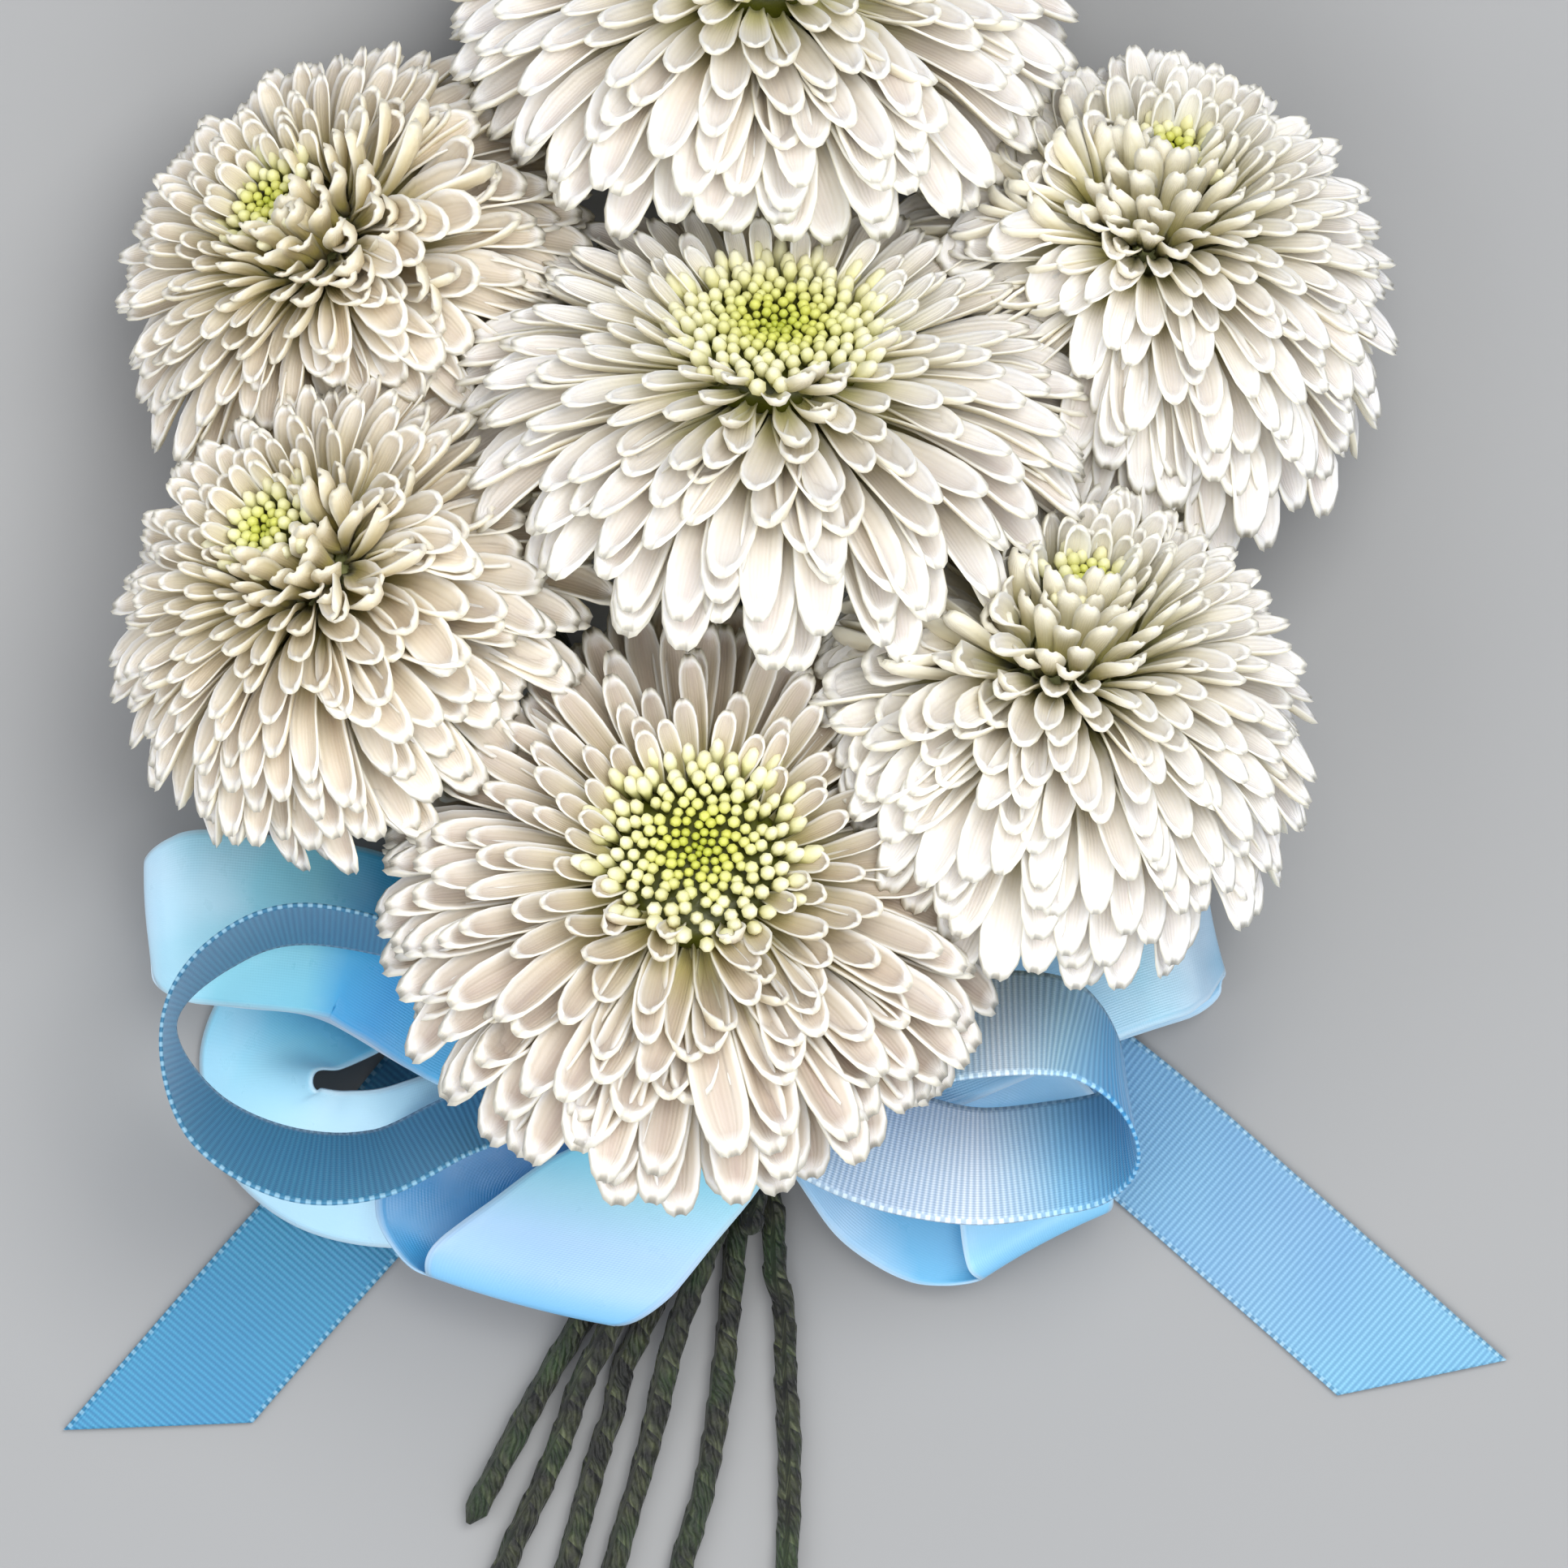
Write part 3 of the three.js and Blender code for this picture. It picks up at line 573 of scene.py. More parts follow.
# one head in front of another, and the lift of the plane that parts them
partings = [
    ("top", "upper_left", 24),
    ("top", "upper_right", 24),
    ("middle", "top", -10),
    ("middle", "upper_left", 40),
    ("middle", "upper_right", 40),
    ("middle", "lower_left", 22),
    ("middle", "bottom", 12),
    ("lower_left", "upper_left", 20),
    ("lower_right", "upper_right", 20),
    ("lower_right", "bottom", 16),
    ("bottom", "lower_left", 16),
    ("middle", "lower_right", 16),
]
partingPlan = {"table": 0.3, "raised": 2, "slide": 0.6}

for head in heads.values():
    lean = math.radians(head["lean"])
    side = unit(head["toward"])
    head["middle"] = np.array(head["centre"], float)
    head["axis"] = np.array([side[0] * math.sin(lean), side[1] * math.sin(lean), math.cos(lean)])
    head["across"] = unit(np.cross((0, 1, 0), head["axis"]))
    head["along"] = np.cross(head["axis"], head["across"])
    head["planes"] = [(np.array([0.0, 0.0, 1.0]), partingPlan["table"], np.zeros(3))]

for frontName, backName, lift in partings:
    front, back = heads[frontName], heads[backName]
    normal = front["middle"] - back["middle"]
    normal[2] += lift
    normal = unit(normal)
    share = back["radius"] / (front["radius"] + back["radius"])
    raised = partingPlan["raised"] * (front["axis"] + back["axis"])
    offset = normal @ (mix(back["middle"], front["middle"], share) + raised)
    uphill = unit(np.array([0, 0, 1]) - normal[2] * normal)
    front["planes"].append((normal, offset, uphill))
    back["planes"].append((-normal, -offset, -uphill))


# the way out from a head's axis at an angle round it
def outwardOf(head, angle):
    return math.cos(angle) * head["across"] + math.sin(angle) * head["along"]


def headPoint(head, radius, angle, height):
    return head["middle"] + radius * outwardOf(head, angle) + height * head["axis"]


def headRing(head, radius, height, sides):
    return [headPoint(head, radius, step / sides * fullTurn, height) for step in range(sides)]


# Moves a point of a petal's course clear of the planes round its head: the head in front lifts its petals
# over the other one, which lowers its own.
def clearOf(planes, point, reach):
    for normal, offset, slide in planes * 2:
        blocked = offset + reach - normal @ point
        if blocked > 0:
            point = point + blocked * (normal + partingPlan["slide"] * slide)
    return point


# one petal, one bract and one floret, modelled once
petalShape = {
    "rows": (0.0, 0.24, 0.48, 0.68, 0.83, 0.92, 0.975, 1.0),
    "widths": (0.34, 0.52, 0.82, 0.98, 1.0, 0.85, 0.56, 0.24),
    "lifts": (0.0, 0.0, 0.0, 0.0, 0.0, 0.03, 0.1, 0.18),
    "rim": 0.27,
    "rib": -0.05,
    "thickness": 0.06,
}
bractShape = {
    "rows": (0.0, 0.3, 0.6, 0.85, 1.0),
    "widths": (0.8, 1.0, 0.85, 0.45, 0.06),
    "lifts": (0.0, 0.0, 0.0, 0.02, 0.05),
    "rim": -0.12,
    "rib": 0.06,
    "thickness": 0.12,
}
floretShape = {"rings": 5, "segments": 7, "neck": 0.62, "length": 2.6, "neckTop": 0.45}
bladeColumns = 4


# selects the points of an edited mesh that pass the test
def choose(model, mesh, test):
    for v in mesh.verts:
        v.select_set(test(v))
    mesh.select_flush_mode()
    bmesh.update_edit_mesh(model.data)


# keeps a model's points and faces, and removes the model
def takeModel(model):
    points = np.array([v.co[:] for v in model.data.vertices])
    faces = [tuple(p.vertices) for p in model.data.polygons]
    bpy.data.objects.remove(model, do_unlink=True)
    return points, faces


# a blade lying along +Y: a grid with narrowed rows and rims turned up, which is then given a thickness
def modelBlade(name, shape):
    spans = len(shape["rows"]) - 1
    bpy.ops.object.select_all(action="DESELECT")
    bpy.ops.mesh.primitive_grid_add(
        x_subdivisions=bladeColumns, y_subdivisions=spans, size=1, location=(0, 0, 0)
    )
    blade = bpy.context.active_object
    blade.name = name
    bpy.ops.object.mode_set(mode="EDIT")
    bpy.ops.mesh.select_mode(type="VERT")
    mesh = bmesh.from_edit_mesh(blade.data)
    mesh.verts.ensure_lookup_table()
    rowOf = {v.index: round((v.co.y + 0.5) * spans) for v in mesh.verts}
    columnOf = {v.index: round((v.co.x + 0.5) * bladeColumns) for v in mesh.verts}
    for index, (place, width, rise) in enumerate(zip(shape["rows"], shape["widths"], shape["lifts"])):
        choose(blade, mesh, lambda v: rowOf[v.index] == index)
        bpy.ops.transform.resize(value=(width, 1, 1), center_override=(0, 0, 0))
        bpy.ops.transform.translate(value=(0, place - (index / spans - 0.5), rise))
    rims, rib = (0, bladeColumns), (bladeColumns // 2,)
    for index, width in enumerate(shape["widths"]):
        for columns, rise in ((rims, shape["rim"]), (rib, shape["rib"])):
            choose(blade, mesh, lambda v: rowOf[v.index] == index and columnOf[v.index] in columns)
            bpy.ops.transform.translate(value=(0, 0, rise * width))
    bpy.ops.object.mode_set(mode="OBJECT")
    wall = blade.modifiers.new("wall", "SOLIDIFY")
    wall.thickness = shape["thickness"]
    wall.offset = -1
    bpy.ops.object.modifier_apply(modifier="wall")
    return takeModel(blade)


# a closed floret standing on the origin, one unit in radius at its head
def modelFloret():
    shape = floretShape
    bpy.ops.object.select_all(action="DESELECT")
    bpy.ops.mesh.primitive_uv_sphere_add(
        segments=shape["segments"], ring_count=shape["rings"], radius=1, location=(0, 0, 0)
    )
    floret = bpy.context.active_object
    bpy.ops.object.mode_set(mode="EDIT")
    bpy.ops.mesh.select_all(action="SELECT")
    bpy.ops.transform.resize(value=(1, 1, shape["length"] / 2), center_override=(0, 0, 0))
    bpy.ops.transform.translate(value=(0, 0, shape["length"] / 2))
    mesh = bmesh.from_edit_mesh(floret.data)
    choose(floret, mesh, lambda v: v.co.z < shape["length"] * shape["neckTop"])
    bpy.ops.transform.resize(value=(shape["neck"], shape["neck"], 1), center_override=(0, 0, 0))
    bpy.ops.object.mode_set(mode="OBJECT")
    return takeModel(floret)


petalPoints, petalFaces = modelBlade("petalModel", petalShape)
bractPoints, bractFaces = modelBlade("bractModel", bractShape)
floretPoints, floretFaces = modelFloret()
print("petal, bract and floret modelled")


# lays a modelled blade along a course of points; cup scales how far its rims stand up
def layBlade(points, rows, course, width, up, cup, roll):
    forward = unit(np.gradient(course, axis=0))
    across = unit(np.cross(forward, up))
    lift = np.cross(across, forward)
    turn = np.linspace(0, roll, len(course))[:, None]
    across, lift = across * np.cos(turn) + lift * np.sin(turn), lift * np.cos(turn) - across * np.sin(turn)
    at = np.clip(points[:, 1], rows[0], rows[-1])

    def along(values):
        return np.stack([np.interp(at, rows, values[:, axis]) for axis in range(3)], axis=1)

    beyond = (points[:, 1] - at)[:, None] * np.linalg.norm(course[-1] - course[0])
    placed = along(course) + along(forward) * beyond
    return placed + along(across) * points[:, :1] * width + along(lift) * points[:, 2:] * width * cup


petalPlan = {
    "skirt": 112,  # degrees from the axis to the outermost tips
    "eyeEdge": 1.25,  # place of the innermost tips, as a share of the eye's radius
    "coreShare": 0.24,
    "rootLevels": (0.02, 0.58),  # of the dome at age 0, and what age 1 adds to it
    "rootInside": 0.8,  # of the tip's distance from the axis, at most
    "bendBack": 0.5,  # way from the tip back to the bend, as a share of the length
    "bendShare": 0.4, "lengths": 0.05, "turns": 9, "starts": 0.07, "swings": 0.1, "reaches": (-2, 0.8),
    "tangle": 3.5,  # how far the outermost petals reach in among the next head's
    "tangledAge": 0.3, "outerWidth": 5.4, "innerWidth": 2.3,
    "ballWidth": 3,  # of the innermost petals in a head with a small eye
    "smallEye": 0.2,
    "radius": 34,  # of the head that these widths are for
    "widths": (0.88, 1.1), "cup": (0.95, 1.2), "cups": (0.75, 1.3), "rolls": 0.25, "dulls": 0.35,
}
# how much more the petals vary on the ruffled side of a head, and where that begins
rufflePlan = {
    "facing": (0.2, 0.8), "ages": (0.3, 0.25), "missing": 0.2, "shorter": 0.14, "turns": (-25, 45),
    "swings": 0.4, "wider": 0.55, "rolls": 1.2,
}


# Tips lie on a flattened ball, from under its rim, age 0, up to the disc, age 1.
def petalCourse(head, age, angle, ruffle, draw):
    radius, dome, plan = head["radius"], head["dome"], petalPlan
    low = math.cos(math.radians(plan["skirt"]))
    high = math.sqrt(1 - (plan["eyeEdge"] * head["eye"]) ** 2)
    level = mix(low, high, age)
    stretch = 1 + plan["lengths"] * draw.uniform(-1, 1) - rufflePlan["shorter"] * ruffle * draw.random()
    tip = np.array([radius * math.sqrt(1 - level * level), dome * level]) * stretch
    rootRadius = min(radius * plan["coreShare"], plan["rootInside"] * tip[0])
    root = np.array([rootRadius, dome * (plan["rootLevels"][0] + plan["rootLevels"][1] * age)])
    turn = mix(*head["curl"], age**3) + sway(draw, plan["turns"])
    turn -= ruffle * draw.uniform(*rufflePlan["turns"])
    heading = math.acos(level) + math.radians(turn)
    length = np.linalg.norm(tip - root)
    bend = tip - plan["bendBack"] * length * np.array([math.sin(heading), math.cos(heading)])
    start = angle + sway(draw, plan["starts"])
    swing = sway(draw, plan["swings"]) + ruffle * sway(draw, rufflePlan["swings"])
    reach = draw.uniform(*plan["reaches"]) - plan["tangle"] * max(0, 1 - age / plan["tangledAge"])
    points = []
    for (away, height), share in zip((root, bend, tip), (0, plan["bendShare"], 1)):
        point = headPoint(head, away, start + swing * share, height)
        points.append(clearOf(head["planes"], point, reach * share))
    return bentCourse(petalShape["rows"], *points), (tip - root) / length


def buildPetals(name, head, seed):
    draw = random.Random(seed)
    plan, heap = petalPlan, Heap()
    rows = petalShape["rows"]
    widths = np.interp(petalPoints[:, 1], rows, petalShape["widths"])
    across = np.clip(petalPoints[:, 0] / widths + 0.5, 0, 1)
    coordinates = np.stack([across, np.clip(petalPoints[:, 1], 0, 1)], axis=1)
    upper = np.arange(len(petalPoints)) < len(petalPoints) / 2
    innerWidth = plan["innerWidth"] if head["eye"] > plan["smallEye"] else plan["ballWidth"]
    ruffledWay, ruffledShare = unit((*head["ruffled"][:2], 0)), head["ruffled"][2]
    (facingFrom, facingSpan), (ageFrom, ageSpan) = rufflePlan["facing"], rufflePlan["ages"]
    for index in range(head["count"]):
        age = 1 - (1 - index / (head["count"] - 1)) ** head["crowd"]
        angle = index * goldenAngle
        outward = outwardOf(head, angle)
        facing = max(0, (outward @ ruffledWay - facingFrom) / facingSpan)
        ruffle = ruffledShare * facing * within((age - ageFrom) / ageSpan)
        if draw.random() < rufflePlan["missing"] * ruffle:
            continue
        course, slope = petalCourse(head, age, angle, ruffle, draw)
        width = mix(plan["outerWidth"], innerWidth, age**1.6) * (head["radius"] / plan["radius"])
        width *= draw.uniform(*plan["widths"])
        width *= 1 + rufflePlan["wider"] * ruffle
        up = slope[0] * head["axis"] - slope[1] * outward
        cup = mix(*plan["cup"], age) * draw.uniform(*plan["cups"])
        roll = sway(draw, plan["rolls"]) + ruffle * sway(draw, rufflePlan["rolls"])
        placed = layBlade(petalPoints, rows, course, width, up, cup, roll)
        tone = (age, head["dull"] + plan["dulls"] * draw.random(), head["cream"])
        tones = np.hstack([np.tile(tone, (len(petalPoints), 1)), upper[:, None]])
        heap.add(placed, petalFaces, tones, coordinates)
    settle(heap.piece(f"petals_of_{name}", petalSkin), "petal", f"petals_{name}")


floretPlan = {
    "count": 175,
    "radius": 10.5,  # of the disc that this count is for
    "bed": (0.7, 0.64),  # level of the bed at its middle and at its rim, as a share of the dome
    "bedRing": (20, 6), "bedRim": 0.52, "bedFoot": 0.5, "sunk": 0.02, "swell": 0.05, "angles": 0.08,
    "reach": 1.04, "footReach": 0.92, "lean": (0.2, 0.7), "sizes": (0.5, 1.05),
    "sizeChance": (0.88, 1.12), "tall": (0.9, 2.1), "tallChance": (0.88, 1.15),
}


def buildFlorets(name, head, seed):
    draw = random.Random(seed)
    plan, heap, dome = floretPlan, Heap(), head["dome"]
    discRadius = head["radius"] * head["eye"]
    rise = head.get("bed", plan["bed"][0]) - plan["bed"][0]
    count = round(plan["count"] * (discRadius / plan["radius"]) ** 1.6)
    upShare = floretPoints[:, 2] / floretShape["length"]
    for index in range(count):
        out = ((index + 0.4) / count) ** 0.6
        angle = index * goldenAngle + sway(draw, plan["angles"])
        radius = out * discRadius * plan["reach"]
        swell = plan["swell"] * math.sin(out * math.pi)
        height = dome * (mix(*plan["bed"], out) + rise - plan["sunk"] + swell)
        size = mix(*plan["sizes"], out) * draw.uniform(*plan["sizeChance"])
        outward = outwardOf(head, angle)
        stand = unit(head["axis"] + outward * (plan["lean"][0] * out + plan["lean"][1] * out**4))
        first = unit(np.cross(stand, outward + head["axis"] * 0.01))
        second = np.cross(stand, first)
        foot = headPoint(head, radius * plan["footReach"], angle, height)
        tall = mix(*plan["tall"], out**3) * draw.uniform(*plan["tallChance"])
        local = floretPoints * (size, size, size * tall)
        placed = foot + local[:, :1] * first + local[:, 1:2] * second + local[:, 2:] * stand
        same = np.ones(len(floretPoints))
        heap.add(placed, floretFaces, np.stack([same * out, upShare, same * draw.random()], 1))
    # the domed bed that the florets stand on
    sides, rings = plan["bedRing"]
    bed = [headPoint(head, 0, 0, dome * (plan["bed"][0] + rise))]
    for ring in range(1, rings + 1):
        out = ring / rings
        level = mix(*plan["bed"], out * out) + rise if ring < rings else plan["bedRim"]
        bed += headRing(head, out * discRadius, dome * level, sides)
    bed.append(headPoint(head, 0, 0, dome * plan["bedFoot"]))
    last = len(bed) - 1
    faces = fanFaces(0, 1, sides) + tubeFaces(1, rings, sides, True)
    faces += fanFaces(last, last - sides, sides, True)
    # the bed takes the gap colour: partly its own green, partly painted shade under the florets
    heap.add(bed, faces, np.tile((0.5, 0.05, 0.5), (len(bed), 1)))
    settle(heap.piece(f"florets_of_{name}", floretSkin), "disc", f"disc_{name}")


calyxPlan = {
    "depth": 15, "sides": 24,
    # rows of bracts: count, then root, bend and tip as radius and height, and width
    "rows": (
        (9, (2.2, -11.5), (4.6, -8.5), (6.6, -4.6), 4.4),
        (10, (3.6, -8.6), (6.4, -5.2), (8.4, -1.6), 4.8),
        (12, (5.2, -5.6), (8.0, -2.6), (9.4, 1.4), 4.6),
    ),
    "angles": 0.12, "rolls": 0.15, "shades": (0.6, 1),
    # radius and height of the cup, then of the heart as shares of the core's radius and of the dome
    "cup": ((2.05, -14.7), (2.15, -12.5), (2.6, -10), (4.2, -7.4), (5.9, -4.4), (6.9, -1.4), (7.2, 0.6)),
    "heart": ((1.12, 0.18), (1.08, 0.36), (0.9, 0.5)),
}


# the green cup and the pale heart that petals grow from, turned in one profile
def buildCalyx(name, head, seed):
    draw = random.Random(seed)
    plan, heap, sides = calyxPlan, Heap(), calyxPlan["sides"]
    core, dome = head["radius"] * petalPlan["coreShare"], head["dome"]
    profile = [*plan["cup"], (core * 0.98, 1.2), *[(core * out, dome * up) for out, up in plan["heart"]]]
    points, tones = [], []
    for radius, level in profile:
        points += headRing(head, radius, level, sides)
        tones += [(within((level + 4) / 6), 0, 0)] * sides
    points += [headPoint(head, 0, 0, profile[end][1]) for end in (0, -1)]
    heap.add(points, closedTube(len(profile), sides), tones + [(0, 0, 0), (1, 0, 0)])
    for number, (count, root, bend, tip, width) in enumerate(plan["rows"]):
        for index in range(count):
            angle = (index + number * 0.5 + sway(draw, plan["angles"])) / count * fullTurn
            flat = bentCourse(bractShape["rows"], root, bend, tip)
            course = np.array([headPoint(head, radius, angle, level) for radius, level in flat])
            up = outwardOf(head, angle) - 0.4 * head["axis"]
            roll = sway(draw, plan["rolls"])
            placed = layBlade(bractPoints, bractShape["rows"], course, width, up, 1, roll)
            shades = [(0.15 + 0.5 * p[1] * draw.uniform(*plan["shades"]), 0, 0) for p in bractPoints]
            heap.add(placed, bractFaces, shades)
    settle(heap.piece(f"calyx_of_{name}", calyxSkin), "calyx", f"calyx_{name}")


for number, (name, head) in enumerate(heads.items()):
    buildPetals(name, head, 300 + number)
    buildFlorets(name, head, 400 + number)
    buildCalyx(name, head, 500 + number)
print("heads built")

# stems: waypoints above the binding, the place in it, and waypoints below
stems = {
    "lower_left": {
        "above": ((-40, 5.5, 15.5), (-30, -4, 8), (-18.5, -18, 3.4)),
        "bundle": (-12.4, 2.75),
        "below": ((-13.6, -50.5, 2.7), (-17.5, -55.5, 2.3), (-23.8, -62.6, 1.9), (-36.5, -85.4, 1.65)),
    },
    "upper_left": {
        "above": ((-37, 39, 2.4), (-30, 24, 1.8), (-20, 2, 3), (-13, -16, 5)),
        "bundle": (-10.6, 5.9),
        "below": ((-13.5, -53, 5.6), (-20.3, -63.2, 4.2), (-26.8, -77.5, 1.7), (-34, -95, 1.6)),
    },
    "top": {
        "above": ((-1, 68, 4.4), (-1.8, 50, 1.9), (-4, 20, 1.9), (-7.4, -12, 2.4)),
        "bundle": (-8.75, 2.75),
        "below": ((-10.4, -53, 2.5), (-17, -63.8, 1.8), (-21.1, -76.6, 1.6), (-27.2, -97, 1.6)),
    },
    "bottom": {
        "above": ((-9.3, -20, 19), (-8.3, -24, 10.5)),
        "bundle": (-7, 5.9),
        "below": ((-8.3, -53, 5.6), (-11.8, -61.5, 4.3), (-15.4, -75.1, 2), (-21.6, -98, 1.65)),
    },
    "middle": {
        "above": ((-2, 22, 18), (-2.6, 9, 10), (-3.6, -10, 4.6)),
        "bundle": (-5.15, 2.75),
        "below": ((-5.5, -53, 2.4), (-6.3, -63.8, 1.7), (-9.1, -79.4, 1.6), (-13.1, -97, 1.6)),
    },
    "upper_right": {
        "above": ((31, 33, 2.3), (22, 17, 1.9), (10, 0, 3), (1, -16, 5)),
        "bundle": (-3.4, 5.9),
        "below": ((-3.6, -52, 5.7),),
    },
    "lower_right": {
        "above": ((22.5, -10.5, 14.5), (14, -15, 8), (4.5, -21.5, 3.6)),
        "bundle": (-1.6, 2.75),
        "below": ((-0.9, -55, 2.4), (-0.1, -62.4, 1.8), (0.6, -74, 1.6), (-0.2, -100, 1.6)),
    },
}
binding = {"top": -31, "foot": -46, "left": -15.2, "right": 1.2, "low": 0.05, "high": 8.6, "corner": 3}
stemPlan = {
    "radius": 1.36, "sides": 14, "step": 0.7,
    "pitch": 4.4,  # millimetres along the stem to a turn of the tape
    "lap": 0.3, "lump": 0.16, "lumpSteps": 6, "wander": 0.35, "wanderSteps": 7,
    "rounding": 1.2,  # length of the rounded end
    "blunt": 0.04, "inHead": (0.2, -3.5), "inBinding": (3, -2, 2, -1.5),
}


def tube(course, radiusAt, sides):
    forward = unit(np.gradient(course, axis=0))
    first = unit(np.cross(forward[0], (0.3, 0.2, 1)))
    rings = []
    for index, (point, way) in enumerate(zip(course, forward)):
        first = unit(first - way * (first @ way))
        second = np.cross(way, first)
        for step in range(sides):
            angle = step / sides * fullTurn
            outward = math.cos(angle) * first + math.sin(angle) * second
            rings.append(point + radiusAt(index, angle) * outward)
    return rings


def buildStem(name, route, seed):
    draw = random.Random(seed)
    plan, head = stemPlan, heads[name]
    x, z = route["bundle"]
    top = head["middle"] - calyxPlan["depth"] * head["axis"]
    start = [top + rise * head["axis"] for rise in plan["inHead"]]
    ends = (binding["top"], binding["top"], binding["foot"], binding["foot"])
    inside = [(x, end + gap, z) for end, gap in zip(ends, plan["inBinding"])]
    points = [*start, *route["above"], *inside, *route["below"]]
    count = round(strides(smoothCourse(points, 60, True)).sum() / plan["step"])
    course = smoothCourse(points, count, True)
    way = travelled(course)
    lumps = [draw.uniform(-1, 1) for _ in range(count // plan["lumpSteps"] + 3)]
    wander = [(draw.uniform(-1, 1) * plan["wander"],) for _ in range(count // plan["wanderSteps"] + 3)]
    course[:, 0] += smoothCourse(wander, count)[:, 0]
    sides = plan["sides"]

    def radiusAt(index, angle):
        wind = (way[index] / plan["pitch"] + angle / fullTurn) % 1
        lump = np.interp(index / plan["lumpSteps"], range(len(lumps)), lumps) * plan["lump"]
        cut = max(plan["rounding"] - min(way[index], way[-1] - way[index]), 0)
        rounded = math.sqrt(max(1 - cut**2 / plan["rounding"] ** 2, plan["blunt"]))
        return (plan["radius"] - plan["lap"] / 2 + plan["lap"] * (1 - wind) + lump * 0.5) * rounded

    rings = tube(course, radiusAt, sides) + [course[0], course[-1]]
    coordinates = [(step / sides, w / plan["pitch"]) for w in way for step in range(sides)]
    coordinates += [(0, 0), (0, way[-1] / plan["pitch"])]
    faces = closedTube(count + 1, sides)
    settle(meshPiece(f"taped_stem_{name}", rings, faces, tapeSkin, coordinates), "tape", f"stem_{name}")


for number, (name, route) in enumerate(stems.items()):
    buildStem(name, route, 700 + number)
print("stems built")


def roundedSection(left, right, low, high, corner, perCorner):
    outline = []
    for centreX, centreZ, start in (
        (right - corner, low + corner, -0.5),
        (right - corner, high - corner, 0.0),
        (left + corner, high - corner, 0.5),
        (left + corner, low + corner, 1.0),
    ):
        for step in range(perCorner + 1):
            angle = (start + 0.5 * step / perCorner) * math.pi
            outline.append((centreX + corner * math.cos(angle), centreZ + corner * math.sin(angle)))
    return np.array(outline)


# evenly spaced points round a closed outline
def evenRound(outline, count):
    closed = np.vstack([outline, outline[:1]])
    way = travelled(closed)
    at = np.arange(count) / count * way[-1]
    return np.stack([np.interp(at, way, closed[:, axis]) for axis in (0, 1)], axis=1)


bindingPlan = {
    "around": 72, "rows": 46, "turns": 3.4, "lap": 0.45, "wall": 1.0, "hem": 0.35, "hemRows": 1.5,
    "bumps": 7,  # the stems that show through the tape
    "bump": 0.18,
}


def buildBinding():
    plan = bindingPlan
    count, rows, turns = plan["around"], plan["rows"], plan["turns"]
    section = roundedSection(*[binding[key] for key in ("left", "right", "low", "high", "corner")], 6)
    outline = evenRound(section, count)
    outward = unit(np.roll(outline, -1, 0) - np.roll(outline, 1, 0))
    outward = np.stack([outward[:, 1], -outward[:, 0]], axis=1)
    points, coordinates = [], []
    for outer in (True, False):
        for row in range(rows + 1):
            share = row / rows
            y = mix(binding["top"], binding["foot"], share)
            for step in range(count):
                depth = -plan["wall"]
                if outer:
                    lap = -plan["lap"] * ((share * turns + step / count) % 1)
                    hem = -plan["hem"] * max(0, 1 - min(share, 1 - share) * rows / plan["hemRows"])
                    bump = plan["bump"] * math.cos(step / count * fullTurn * plan["bumps"])
                    depth = lap + hem + (bump - plan["bump"])
                place = outline[step] + outward[step] * depth
                points.append((place[0], y, place[1]))
                coordinates.append((step / count, share * turns))
    layer = (rows + 1) * count
    faces = tubeFaces(0, rows + 1, count) + tubeFaces(layer, rows + 1, count, True)
    for step in range(count):
        a, b = step, (step + 1) % count
        faces.append((a, layer + a, layer + b, b))
        a, b = a + rows * count, b + rows * count
        faces.append((a, b, layer + b, layer + a))
    piece = meshPiece("taped_binding", points, faces, tapeSkin, coordinates)
    faceOutward(piece)
    settle(piece, "tape", "stem_binding")


buildBinding()

